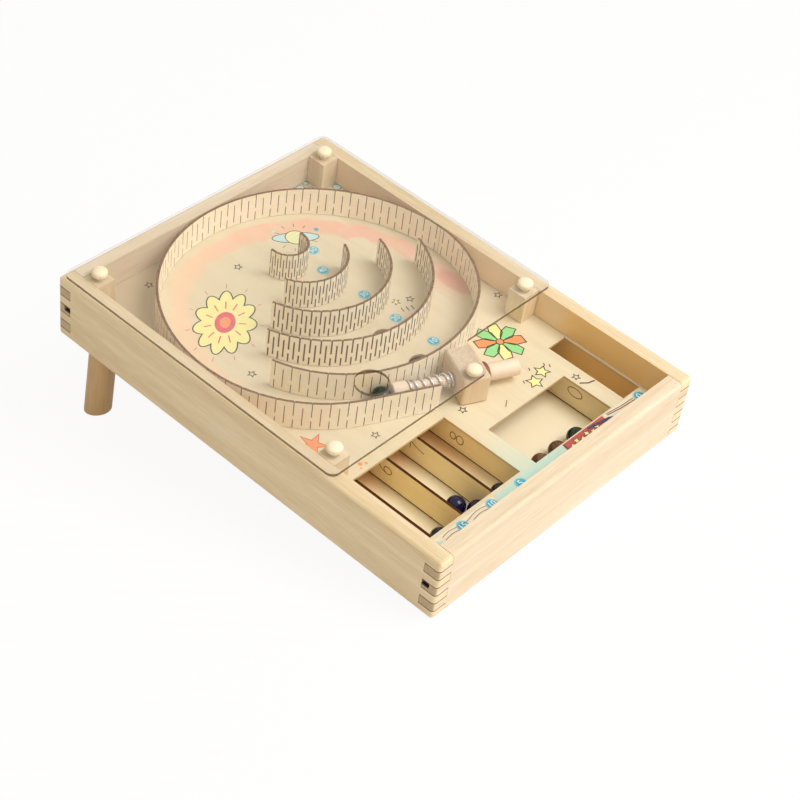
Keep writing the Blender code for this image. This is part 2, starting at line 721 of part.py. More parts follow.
def make_spring(axis, look):
    """The compression spring between striker and block: one unbroken wire with straight ends."""
    high = -BLOCK_DEPTH / 2 - FIT
    low = -BLOCK_DEPTH / 2 - SPRING_SPACE + FIT
    radius = ROD_RADIUS + SPRING_CLEARANCE + SPRING_WIRE / 2
    first, last = low + SPRING_WIRE, high - SPRING_WIRE
    steps = SPRING_CURLS * SPRING_POINTS
    points = []
    for i in range(steps + 1):
        angle = 2 * math.pi * i / SPRING_POINTS
        along = first + (last - first) * i / steps
        points.append(Vector((radius * math.cos(angle), radius * math.sin(angle), along)))
    apart = SPRING_POINTS // 2
    pairs = ((a, b) for i, a in enumerate(points) for b in points[i + apart:])
    least = min((a - b).length for a, b in pairs) - SPRING_WIRE
    print(f"spring: least gap between its own turns {least / MM:.2f} mm")
    points.insert(0, Vector((*points[0].xy, low)))
    points.append(Vector((*points[-1].xy, high)))

    curve = bpy.data.curves.new("plunger_spring", "CURVE")
    curve.dimensions = "3D"
    curve.bevel_depth = SPRING_WIRE / 2
    curve.bevel_resolution = 1
    curve.use_fill_caps = True
    wire = curve.splines.new("POLY")
    wire.points.add(len(points) - 1)
    for knot, point in zip(wire.points, points):
        knot.co = (*point, 1)
    curve.materials.append(look)
    spring = bpy.data.objects.new("plunger_spring", curve)
    bpy.context.scene.collection.objects.link(spring)
    spring.parent = axis


def floor_plane():
    """The table, in the box's frame: its normal, and its offset where the rounded front edge rests on it."""
    normal = Vector((0, math.sin(TIP_ANGLE), math.cos(TIP_ANGLE)))
    return normal, EDGE_ROUND * (normal.y + normal.z - 1)


def make_legs(root, look):
    """Two splayed dowels, cut flush with the bottom panel above and with the table below."""
    normal, offset = floor_plane()
    top = Vector((0, 0, 1))
    for name, x, outward in (("leg_left", LEG_INSET, -1), ("leg_right", BOX_WIDTH - LEG_INSET, 1)):
        place = Vector((x, BOX_LENGTH - LEG_FROM_BACK, BOTTOM_RISE - FIT))
        axis = Vector((outward * math.sin(LEG_SPLAY), 0, -math.cos(LEG_SPLAY)))
        across = Vector((-axis.z, 0, axis.x))
        upper, lower = [], []
        for a, b in circle((0, 0), LEG_RADIUS, ROUND_SIDES):
            edge = across * a + Vector((0, b, 0))
            upper.append(edge - axis * (top.dot(edge) / top.dot(axis)))
            lower.append(edge + axis * ((offset - normal.dot(place + edge)) / normal.dot(axis)))
        shape = bmesh.new()
        upper = [shape.verts.new(point) for point in upper]
        lower = [shape.verts.new(point) for point in lower]
        shape.faces.new(upper)
        shape.faces.new(lower[::-1])
        for i in range(ROUND_SIDES):
            shape.faces.new((lower[i - 1], lower[i], upper[i], upper[i - 1]))
        shade_round(add_object(name, shape, look, root, place))


def marble_places():
    """Marbles at rest: in the channels, in the middle tray, and in the lane against the striker."""
    reach = MARBLE_RADIUS + FIT
    low = FLOOR_TOP + reach
    front = TRAY_STOP_Y + reach
    walls = tray_walls()
    middles = [(here + TRAY_WALL_THICKNESS + there) / 2 for here, there in zip(walls, walls[1:])]
    right_side = walls[2] - reach
    apart = MARBLE_RADIUS + reach
    step_y = math.sqrt(apart**2 - PAIR_STEP_X**2)
    places = {
        "marble_channel_1": (middles[0], front, low),
        "marble_channel_2_front": (right_side, front, low),
        "marble_channel_2_back": (right_side - PAIR_STEP_X, front + step_y, low),
        "marble_channel_3": (middles[2], front, low),
    }
    left = walls[-2] + TRAY_WALL_THICKNESS
    for i, share in enumerate(MIDDLE_MARBLE_SHARES):
        places[f"marble_tray_{i + 1}"] = (left + share * (walls[-1] - left), front, low)
    places["marble_lane"] = (*lane_marble(), STAND_BOTTOM + MARBLE_RADIUS)
    return places


def make_marbles(root, looks):
    profile = []
    for i in range(MARBLE_RINGS + 1):
        angle = math.pi * i / MARBLE_RINGS
        radius = MARBLE_RADIUS * math.sin(angle) if 0 < i < MARBLE_RINGS else 0
        profile.append((radius, -MARBLE_RADIUS * math.cos(angle)))
    for (name, place), colour in zip(marble_places().items(), MARBLE_COLOURS):
        marble = add_object(name, turned(profile, SMALL_SIDES), looks[f"{colour}_glass"], root, place)
        marble.data.shade_smooth()


def stand_on_floor(root):
    """Moves the whole toy so that the middle of its footprint is the origin and the table is at z = 0."""
    bpy.context.view_layer.update()
    graph = bpy.context.evaluated_depsgraph_get()
    corners = []
    for part in bpy.context.scene.objects:
        if part.type == "EMPTY" or part.hide_render:
            continue
        mesh = part.evaluated_get(graph).to_mesh()
        corners += [part.matrix_world @ vertex.co for vertex in mesh.vertices]
    low = Vector([min(axis) for axis in zip(*corners)])
    high = Vector([max(axis) for axis in zip(*corners)])
    root.location -= Vector(((low.x + high.x) / 2, (low.y + high.y) / 2, low.z))


def main():
    clear_scene()
    looks = {name: finish(name, *spec) for name, spec in FINISHES.items()}
    beech, ply, birch = looks["beech"], looks["ply"], looks["birch"]
    root = add_empty("tipped_box", None, turn=(TIP_ANGLE, 0, 0))
    axis_place = (*block_centre(), PLUNGER_HEIGHT)
    axis = add_empty("plunger_axis", root, axis_place, (0, math.pi / 2, PLUNGER_HEADING))
    make_box(root, beech)
    make_panels(root, ply)
    make_trays(root, ply)
    make_track(root, ply)
    make_pockets(root, ply)
    make_posts(root, beech)
    make_block(root, axis, beech)
    make_plunger(axis, birch, looks["brown_rubber"])
    make_spring(axis, looks["spring_steel"])
    make_cover(root, looks["clear_acrylic"])
    make_pegs(root, birch)
    make_legs(root, beech)
    make_marbles(root, looks)
    stand_on_floor(root)


main()
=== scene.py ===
# %% [markdown]
# # A tabletop marble maze
# This lesson dresses a wooden marble game: a finger-jointed box tipped up on two legs, a clear sheet held
# down by five pegs, ply walls that were slit so that they bend, and a sprung plunger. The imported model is
# loaded first. It is the frame that every piece is fitted to, and it is never moved.

# %% The frame
import json
import math

import bmesh
import bpy
from mathutils import Matrix, Vector


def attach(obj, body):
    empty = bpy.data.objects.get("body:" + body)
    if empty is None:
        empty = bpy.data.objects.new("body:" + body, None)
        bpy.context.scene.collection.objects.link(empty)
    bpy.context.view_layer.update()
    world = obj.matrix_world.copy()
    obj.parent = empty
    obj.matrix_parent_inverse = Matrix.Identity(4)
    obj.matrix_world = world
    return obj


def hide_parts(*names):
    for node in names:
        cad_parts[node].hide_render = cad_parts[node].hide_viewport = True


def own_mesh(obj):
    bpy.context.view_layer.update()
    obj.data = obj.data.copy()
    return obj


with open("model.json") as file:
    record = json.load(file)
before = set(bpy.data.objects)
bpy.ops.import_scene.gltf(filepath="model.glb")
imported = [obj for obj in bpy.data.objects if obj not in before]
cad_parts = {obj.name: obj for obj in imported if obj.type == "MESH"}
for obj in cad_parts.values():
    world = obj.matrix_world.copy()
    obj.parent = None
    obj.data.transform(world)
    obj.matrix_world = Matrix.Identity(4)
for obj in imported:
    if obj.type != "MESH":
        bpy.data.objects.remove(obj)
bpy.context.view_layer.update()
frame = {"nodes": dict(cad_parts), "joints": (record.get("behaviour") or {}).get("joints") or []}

MM = 0.001
nodes = frame["nodes"]

# %% [markdown]
# ## The box's own directions
# The toy leans back by 11.2 degrees, which makes every plain number awkward. So each piece is made square to
# the box, in millimetres from its low front left corner, and one matrix leans the finished mesh. The same
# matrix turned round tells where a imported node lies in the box.

# %% From the box to the table
TIP = math.radians(11.2)
CORNER = Vector((-130, -168.676, -0.438))
BOX = Vector((260, 354, 51))
FROM_BOX = Matrix.Scale(MM, 4) @ Matrix.Translation(CORNER) @ Matrix.Rotation(TIP, 4, "X")
TO_BOX = FROM_BOX.inverted()


def span(node):
    """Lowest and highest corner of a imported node, in the box's millimetres."""
    points = [TO_BOX @ vertex.co for vertex in nodes[node].data.vertices]
    return Vector(map(min, *points)), Vector(map(max, *points))


def middle_of(node):
    low, high = span(node)
    return (low + high) / 2


def show(name, data):
    """Links a new object into the scene."""
    thing = bpy.data.objects.new(name, data)
    bpy.context.scene.collection.objects.link(thing)
    return thing


def settle(name, mesh, body, stands_for=(), looks=(), place=FROM_BOX):
    """Makes a finished mesh a piece that moves with a body."""
    mesh.transform(place)
    mesh.name = name
    for look in looks:
        mesh.materials.append(look)
    piece = show(name, mesh)
    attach(piece, body)
    if stands_for:
        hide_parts(*stands_for)
    print(name, len(mesh.polygons), "faces")
    return piece


playfield_top = span("playfield")[1].z
print("playfield at", round(playfield_top, 2), "mm")

# %% [markdown]
# ## Mesh helpers
# Every piece ends as a plain mesh. Some are made by a curve, a text or a node tree and only have to be taken
# from the object that carried them. Others are built face by face, then welded and turned outward.

# %% Mesh helpers
SMOOTH = math.radians(35)


def plain_mesh(carrier):
    """The mesh that an object's curve, text or modifier makes. The object itself is removed."""
    graph = bpy.context.evaluated_depsgraph_get()
    mesh = bpy.data.meshes.new_from_object(carrier.evaluated_get(graph), depsgraph=graph)
    bpy.data.objects.remove(carrier)
    return mesh


def solid(shape, weld=0.0):
    """A mesh from faces that were built one by one."""
    if weld:
        bmesh.ops.remove_doubles(shape, verts=shape.verts, dist=weld)
    bmesh.ops.recalc_face_normals(shape, faces=shape.faces)
    mesh = bpy.data.meshes.new("solid")
    shape.to_mesh(mesh)
    return mesh


def smooth(mesh):
    mesh.shade_smooth()
    mesh.set_sharp_from_angle(angle=SMOOTH)
    return mesh


def points_mesh(points, joined=True):
    """Points in space, joined into one line or left loose."""
    links = [(i, i + 1) for i in range(len(points) - 1)] if joined else []
    mesh = bpy.data.meshes.new("points")
    mesh.from_pydata(points, links, [])
    return mesh


def towards(angle):
    """A flat vector of length 1 at this angle."""
    return Vector((math.cos(angle), math.sin(angle)))


print("edges sharper than", round(math.degrees(SMOOTH)), "degrees stay sharp")

# %% [markdown]
# ## The camera
# A photograph of a box gives its camera away, because its straight edges meet at vanishing points. Three
# angles found that way, and how far the box's corner lies right of, below and in front of the lens, put this
# camera in the same spot.

# %% Camera
AZIMUTH, ELEVATION, ROLL = (math.radians(angle) for angle in (53.26, 42.90, 8.69))
OFFSET = Vector((19.3097, 137.514, 1233.0001))
forward = Vector((
    math.sin(AZIMUTH) * math.cos(ELEVATION),
    math.cos(AZIMUTH) * math.cos(ELEVATION),
    -math.sin(ELEVATION),
))
level = Vector((math.cos(AZIMUTH), -math.sin(AZIMUTH), 0))
steep = level.cross(forward)
right = level * math.cos(ROLL) + steep * math.sin(ROLL)
up = steep * math.cos(ROLL) - level * math.sin(ROLL)
eye = up * OFFSET.y - right * OFFSET.x - forward * OFFSET.z
turn = Matrix((right, up, -forward)).transposed().to_4x4()
lens = bpy.data.cameras.new("camera")
lens.lens = 89.04
lens.sensor_width = 36
camera = show("camera", lens)
facing = (Matrix.Rotation(TIP, 4, "X") @ turn).to_quaternion()
camera.matrix_world = Matrix.LocRotScale(FROM_BOX @ eye, facing, None)
bpy.context.scene.camera = camera
print("camera", [round(v, 3) for v in camera.location])

# %% [markdown]
# ## Node helpers
# Materials and shapes below are node trees. Small helpers keep them readable: one adds a node and fills its
# inputs with numbers or with other nodes' outputs, one does a step of arithmetic, and the others make the
# noise, the ramps and the mixes that every finish needs.

# %% Node helpers


def feed(node, values):
    """Fills inputs by name or number, with plain values or with outputs of other nodes."""
    for name, value in values.items():
        if isinstance(value, bpy.types.NodeSocket):
            node.id_data.links.new(value, node.inputs[name])
        else:
            node.inputs[name].default_value = value


def put(tree, kind, values=None, **settings):
    """Adds a node with its settings and inputs."""
    node = tree.nodes.new(kind)
    for name, setting in settings.items():
        setattr(node, name, setting)
    feed(node, values or {})
    return node


def via(tree, kind, values=None, **settings):
    """Adds a node and returns its first output."""
    return put(tree, kind, values, **settings).outputs[0]


def do(operation, *values, clamp=False):
    """One step of arithmetic, in the tree that the first linked value belongs to."""
    tree = next(value.id_data for value in values if isinstance(value, bpy.types.NodeSocket))
    return via(tree, "ShaderNodeMath", dict(enumerate(values)), operation=operation, use_clamp=clamp)


def times(share, *others):
    for other in others:
        share = do("MULTIPLY", share, other)
    return share


def squares(first, second):
    return do("ADD", do("POWER", first, 2), do("POWER", second, 2))


def xyz(place):
    return put(place.id_data, "ShaderNodeSeparateXYZ", {0: place}).outputs


def from_side(part, size):
    """Distance from the nearer of two opposite faces of the box."""
    return do("MINIMUM", part, do("SUBTRACT", size, part))


def material(name, colour, roughness):
    look = bpy.data.materials.new(name)
    look.use_nodes = True
    look.diffuse_color = (*colour, 1)
    surface = look.node_tree.nodes["Principled BSDF"]
    feed(surface, {"Base Color": (*colour, 1), "Roughness": roughness})
    return look, surface


def box_place(surface):
    """Object coordinates as the box's millimetres, so that a pattern follows the rails and not the table."""
    tree = surface.id_data
    return via(tree, "ShaderNodeMapping", {
        "Vector": put(tree, "ShaderNodeTexCoord").outputs["Object"],
        "Scale": (1 / MM, 1 / MM, 1 / MM),
        "Rotation": (-TIP, 0, 0),
        "Location": Matrix.Rotation(-TIP, 3, "X") @ -CORNER,
    })


def cloud(place, size, detail=2.0, stretch=(1, 1, 1), distortion=0.0):
    """Noise with spots of about this size in millimetres, longer where stretch is under 1."""
    tree = place.id_data
    place = via(tree, "ShaderNodeMapping", {"Vector": place, "Scale": stretch})
    values = {"Vector": place, "Scale": 1 / size, "Detail": detail, "Distortion": distortion}
    return put(tree, "ShaderNodeTexNoise", values).outputs["Fac"]


def ramp(value, low, high):
    """Straight rise from 0 at low to 1 at high."""
    return via(value.id_data, "ShaderNodeMapRange", {"Value": value, "From Min": low, "From Max": high})


def between(value, low, high, soft=0.4):
    """1 from low to high, falling to 0 just outside."""
    return times(ramp(value, low - soft, low), ramp(value, high + soft, high))


def blend(share, first, second):
    values = {"Factor": share}
    for number, colour in ((6, first), (7, second)):
        values[number] = colour if isinstance(colour, bpy.types.NodeSocket) else (*colour, 1)
    return put(share.id_data, "ShaderNodeMix", values, data_type="RGBA").outputs[2]


def dent(surface, height, strength, depth):
    bump = {"Height": height, "Strength": strength, "Distance": depth * MM}
    feed(surface, {"Normal": via(surface.id_data, "ShaderNodeBump", bump)})


print("node helpers ready")

# %% [markdown]
# ## Wood
# The rails, posts and legs are pale, close-grained wood under a satin finish. Real grain is long: growth
# bands a finger wide, fibres a millimetre thick, and short dark flecks. Each is the same noise, pulled out
# along the piece. A rail's end grain shows where its fingers come through the corner; it drinks the finish
# and turns darker, so a mask by distance from the end picks it out. The long rails' ends were sanded paler,
# and their inner faces carry painted warm bounce light, golden in front of the cover and paler under it.
# Thin lines of painted shade mark the gaps between the fingers, and painted shade fills the open end of the
# board's groove in the short rails' middle finger.

# %% Wood finishes
LONG = 0.05
ALONG = {"x": (LONG, 1, 1), "y": (1, LONG, 1), "z": (1, 1, LONG)}
PALE_WOOD, DEEP_WOOD = (0.85, 0.71, 0.51), (0.62, 0.45, 0.24)
END_WOOD, SANDED_END = (0.43, 0.32, 0.19), (0.76, 0.60, 0.39)
# Painted warm bounce light for the long rails' inner faces: golden in front of the cover, paler under it.
WARM_BOUNCE_WOOD, COVERED_WOOD = (0.86, 0.58, 0.26), (0.86, 0.66, 0.44)
# Painted shade for the gaps between the fingers and for the open end of the board's groove.
JOINT_GAP_SHADE, GROOVE_SHADE = (0.30, 0.18, 0.085), (0.025, 0.012, 0.005)
CHAR, SOOT = (0.145, 0.068, 0.027), (0.34, 0.185, 0.085)
RAIL, FINGERS = 12, 7
END_DEPTH, JOINT_GAP_HALF = (1.4, 0.7), (0.6, 0.35)
MOUTH_INWARD, MOUTH_LEVEL = (6.6, RAIL), (24.6, 29.2)
COVER_STARTS = (95, 110)


def grain(surface, along, pale, deep):
    """Colour and a faint relief of wood that runs along one direction of the box."""
    place = box_place(surface)
    stretch = ALONG[along]
    bands = ramp(cloud(place, 14, 2, stretch, 0.6), 0.35, 0.68)
    fibres = ramp(cloud(place, 1.1, 3, stretch), 0.3, 0.7)
    flecks = ramp(cloud(place, 0.9, 1, [max(s, 3 * LONG) for s in stretch]), 0.66, 0.76)
    share = do("MULTIPLY_ADD", fibres, 0.38, times(bands, 0.5))
    share = do("MULTIPLY_ADD", flecks, 0.22, share, clamp=True)
    feed(surface, {"Roughness": do("MULTIPLY_ADD", fibres, 0.12, 0.46)})
    dent(surface, fibres, 0.12, 0.08)
    return place, blend(share, pale, deep)


def wood(
    name, along, pale=PALE_WOOD, deep=DEEP_WOOD, ends=None, end_tone=END_WOOD, inside=None, jointed=False
):
    """Wood along one direction, with end grain, painted shade in its joints and painted warm bounce light
    inside, where asked for.
    """
    look, surface = material(name, pale, 0.5)
    place, colour = grain(surface, along, pale, deep)
    parts = dict(zip("xyz", xyz(place)))
    if ends:
        near = from_side(parts[along], ends)
        rings = ramp(cloud(place, 2.2, 2), 0.3, 0.7)
        end_grain = blend(rings, end_tone, [1.25 * tone for tone in end_tone])
        colour = blend(ramp(near, *END_DEPTH), colour, end_grain)
    # Thin lines of painted shade where the fingers meet.
    if jointed:
        off_seam = do("PINGPONG", parts["z"], BOX.z / FINGERS / 2)
        gap_shade = times(ramp(off_seam, *JOINT_GAP_HALF), ramp(near, RAIL + 0.5, RAIL))
        gap_shade = times(gap_shade, between(parts["z"], 3, BOX.z - 3))
        colour = blend(gap_shade, colour, JOINT_GAP_SHADE)
    # Painted shade fills the open end of the board's groove in the middle finger.
    if jointed and along == "x":
        mouth = between(from_side(parts["y"], BOX.y), *MOUTH_INWARD)
        mouth = times(mouth, between(parts["z"], *MOUTH_LEVEL), ramp(near, RAIL, RAIL - 1))
        colour = blend(mouth, colour, GROOVE_SHADE)
    # Painted warm bounce light on the inner faces, golden in front of the cover and paler under it.
    if inside:
        inner = blend(ramp(parts["y"], *COVER_STARTS), inside, COVERED_WOOD)
        aside = from_side(parts["x"], BOX.x)
        colour = blend(ramp(aside, RAIL - 0.3, RAIL - 0.1), colour, inner)
    feed(surface, {"Base Color": colour})
    return look


def dress(look, *names):
    for name in names:
        nodes[name].data.materials.clear()
        nodes[name].data.materials.append(look)


long_rail = wood("rail_wood_long", "y", ends=BOX.y, end_tone=SANDED_END, inside=WARM_BOUNCE_WOOD, jointed=True)
dress(long_rail, "rail_left", "rail_right")
short_rail = wood("rail_wood_short", "x", (0.845, 0.72, 0.58), (0.64, 0.485, 0.31), BOX.x, jointed=True)
dress(short_rail, "rail_front", "rail_back")
dress(wood("post_wood", "z"), *[name for name in nodes if name.startswith("post_")])
dress(wood("leg_wood", "z", (0.60, 0.40, 0.20), (0.46, 0.29, 0.13)), "leg_left", "leg_right")
block_wood = wood("block_wood", "z", (0.83, 0.65, 0.46), (0.70, 0.51, 0.32), BOX.z, (0.60, 0.46, 0.33))
dress(block_wood, "plunger_block")
print("wood on the rails, posts, legs and block")

# %% [markdown]
# ## Ply and its charred edges
# The sheets are thin ply. The walls were cut with a laser, which chars every cut edge; the board was sawn and
# its edges are only a little darker than its face. On a panel an edge is known by its height: whatever lies
# below the board's upper face is cut, and so are the tops of the tray walls. A thin band at the tray walls'
# foot, where they meet the floor, is painted shade. The tray floors differ: painted warm shade at the far end
# of the channels, a flat pale tone at the back of the middle tray, and painted warm shade in the right tray.

# %% Ply finishes
PALE_PLY, DEEP_PLY = (0.87, 0.69, 0.45), (0.76, 0.56, 0.33)
EDGE_BAND = 0.12


def char(name):
    look, surface = material(name, CHAR, 0.8)
    soot = ramp(cloud(box_place(surface), 1.6, 3), 0.3, 0.75)
    feed(surface, {"Base Color": blend(soot, CHAR, SOOT), "Specular IOR Level": 0.2})
    return look


def ply(name, along, cut_above=None, cut_and_shade_below=None, pale=PALE_PLY, deep=DEEP_PLY, cut=CHAR):
    """Ply that turns dark above or below a height: at cut edges, and in a band of painted shade at a wall's
    foot.
    """
    look, surface = material(name, pale, 0.55)
    place, colour = grain(surface, along, pale, deep)
    height = xyz(place)[2]
    # The dark below a height is a sawn edge on the board and a band of painted shade at the tray walls' foot.
    for limit, turn_dark in ((cut_above, EDGE_BAND), (cut_and_shade_below, -EDGE_BAND)):
        if limit is not None:
            edge = ramp(height, limit, limit + turn_dark)
            colour = blend(edge, colour, cut)
    feed(surface, {"Base Color": colour})
    return look, surface, place, colour


face_ply = ply("wall_ply", "x", pale=(0.98, 0.89, 0.72), deep=(0.93, 0.79, 0.58))[0]
# The charred finish serves the walls' real cut edges and also the painted shade core in their slits.
cut_and_shade_ply = char("wall_char_and_slit_shade")
tray_base, tray_top = (corner.z for corner in span("tray_wall_1"))
# The foot band is painted shade where the tray walls meet the floor.
FOOT_SHADE, TOP_EDGE = 0.8, 0.3
TRAY = {"pale": (0.98, 0.84, 0.52), "deep": (0.90, 0.72, 0.40), "cut": (0.065, 0.022, 0.004)}
tray_ply, surface = ply("tray_ply", "y", tray_top - TOP_EDGE, tray_base + FOOT_SHADE, **TRAY)[:2]
feed(surface, {"Specular IOR Level": 0.1})
dress(tray_ply, *[f"tray_wall_{number}" for number in range(1, 6)])
dress(ply("stop_ply", "x")[0], "tray_stop")

FLOOR_TONES = {"pale": (0.97, 0.88, 0.66), "deep": (0.92, 0.79, 0.55)}
# The first colour is painted warm shade at the channels' far end, the last painted warm shade in the right
# tray.
FAR_END_SHADE, MIDDLE_TRAY, RIGHT_TRAY_SHADE = (0.80, 0.52, 0.27), (0.93, 0.82, 0.60), (1.0, 0.80, 0.42)
THIRD_FROM, MIDDLE_FROM, RIGHT_FROM = 92, 123, 217
tray_floor, surface, place, colour = ply("floor_ply", "y", **FLOOR_TONES)
from_left, from_front, _ = xyz(place)
# Painted warm shade at the far end of the channels, reaching further forward in the third.
third = times(ramp(from_left, THIRD_FROM, THIRD_FROM + 1), ramp(from_front, 45, 95))
far_end = do("MAXIMUM", ramp(from_front, 82, 108), third)
far_end_shaded = times(far_end, ramp(from_left, MIDDLE_FROM + 1, MIDDLE_FROM))
colour = blend(far_end_shaded, colour, FAR_END_SHADE)
# A flat tone without grain over the back of the middle tray.
middle_tray_back = times(ramp(from_left, MIDDLE_FROM, MIDDLE_FROM + 1), ramp(from_front, 35, 60))
colour = blend(middle_tray_back, colour, MIDDLE_TRAY)
# Painted warm shade over the right tray's floor.
colour = blend(ramp(from_left, RIGHT_FROM, RIGHT_FROM + 1), colour, RIGHT_TRAY_SHADE)
feed(surface, {"Base Color": colour})
dress(tray_floor, "bottom_panel")
print("tray walls end at", round(tray_top, 1), "mm")

# %% [markdown]
# ## The playfield's painted band
# Round the inside of the ring the board carries a wash of peach and pink, laid on with a broad dry brush. It
# is no separate piece, only colour in the ply, so it belongs in the playfield's material: the distance from
# the ring's centre, shaken by noise, gives its ragged edge, and the place across the board its hue. A deeper
# dab lies at the right, painted shade darkens the corners outside the ring towards the back, and a teal wash
# rises from the front.

# %% Playfield
WALL, WALL_GAP = 2.0, 0.3
RING_RADIUS = BOX.x / 2 - RAIL - WALL_GAP - WALL / 2
RING_CENTRE = Vector((BOX.x / 2, BOX.y - BOX.x / 2))
BOARD = {"pale": (0.78, 0.685, 0.50), "deep": (0.71, 0.595, 0.41), "cut": (0.66, 0.48, 0.27)}
PEACH, PINK, DEEP_PINK = (0.92, 0.62, 0.42), (0.90, 0.38, 0.30), (0.72, 0.27, 0.23)
CORNER_SHADE, TEAL_WASH = (0.60, 0.48, 0.32), (0.55, 0.78, 0.72)
BAND_RADIUS, BAND_EDGE = 101, (9.5, 6.5)
DAB, DAB_HALF = Vector((231, 190)), Vector((9, 17))
WASH_MIDDLE = 128

board, surface, place, colour = ply("board_ply", "y", cut_and_shade_below=playfield_top - 0.15, **BOARD)
from_left, from_front, _ = xyz(place)
aside = do("SUBTRACT", from_left, RING_CENTRE.x)
behind = do("SUBTRACT", from_front, RING_CENTRE.y)
reach = do("SQRT", squares(aside, behind))
ragged = do("MULTIPLY_ADD", cloud(place, 30, 3), 22, -11)
bristles = do("MULTIPLY_ADD", cloud(place, 3, 3), 4, -2)
shaken = do("ADD", reach, do("ADD", ragged, bristles))
stroke = ramp(do("ABSOLUTE", do("SUBTRACT", shaken, BAND_RADIUS)), *BAND_EDGE)
inside = ramp(reach, RING_RADIUS, RING_RADIUS - 3)
dry = ramp(cloud(place, 14, 3), 0.12, 0.5)
share = times(stroke, inside, ramp(behind, -60, 0), dry, 0.56)
colour = blend(share, colour, blend(ramp(aside, -90, 80), PEACH, PINK))
dab_x = do("DIVIDE", do("SUBTRACT", from_left, DAB.x), DAB_HALF.x)
dab_y = do("DIVIDE", do("SUBTRACT", from_front, DAB.y), DAB_HALF.y)
dab = times(ramp(squares(dab_x, dab_y), 1.2, 0.5), inside, 0.5)
colour = blend(dab, colour, DEEP_PINK)
# Painted shade on the corners outside the ring, towards the back.
corners = times(ramp(reach, RING_RADIUS, RING_RADIUS + 3), ramp(behind, -60, -30), 0.8)
colour = blend(corners, colour, CORNER_SHADE)
off_middle = do("ABSOLUTE", do("SUBTRACT", from_left, WASH_MIDDLE))
fade = times(ramp(from_front, 70, 30), ramp(off_middle, 26, 8), 0.55)
colour = blend(fade, colour, TEAL_WASH)
feed(surface, {"Base Color": colour})
dress(board, "playfield")
print("ring of", round(RING_RADIUS, 1), "mm about", [round(v) for v in RING_CENTRE])

# %% [markdown]
# ## The slit-bent walls
# This is the piece that takes the most skill on the real toy. A straight ply strip is cut with staggered
# slits: every second one runs in from both edges and leaves a bridge, and the ones between lie within two
# webs. The strip then bends like a hinge. One could draw each wall by hand, but the rule is the same for all
# seven, so a Geometry Nodes tree does it: lay out a flat grid with a column for each side of a slit, part the
# slit faces from the rest, give both thickness, and bend the result along a path. Each slit keeps a thin dark
# core in the charred finish: a sheet of painted shade that stands for the shadow in cuts this narrow.

# %% Slit strip tree


def inlets(tree, **kinds):
    for name, kind in kinds.items():
        tree.interface.new_socket(name, in_out="INPUT", socket_type=f"NodeSocket{kind}")
    tree.interface.new_socket("Shape", in_out="OUTPUT", socket_type="NodeSocketGeometry")
    return tree.nodes.new("NodeGroupInput").outputs


def real(tree, shape, look):
    """The tail of every tree: instances are made real, and a material is set."""
    shape = via(tree, "GeometryNodeRealizeInstances", {"Geometry": shape})
    return via(tree, "GeometryNodeSetMaterial", {"Geometry": shape, "Material": look})


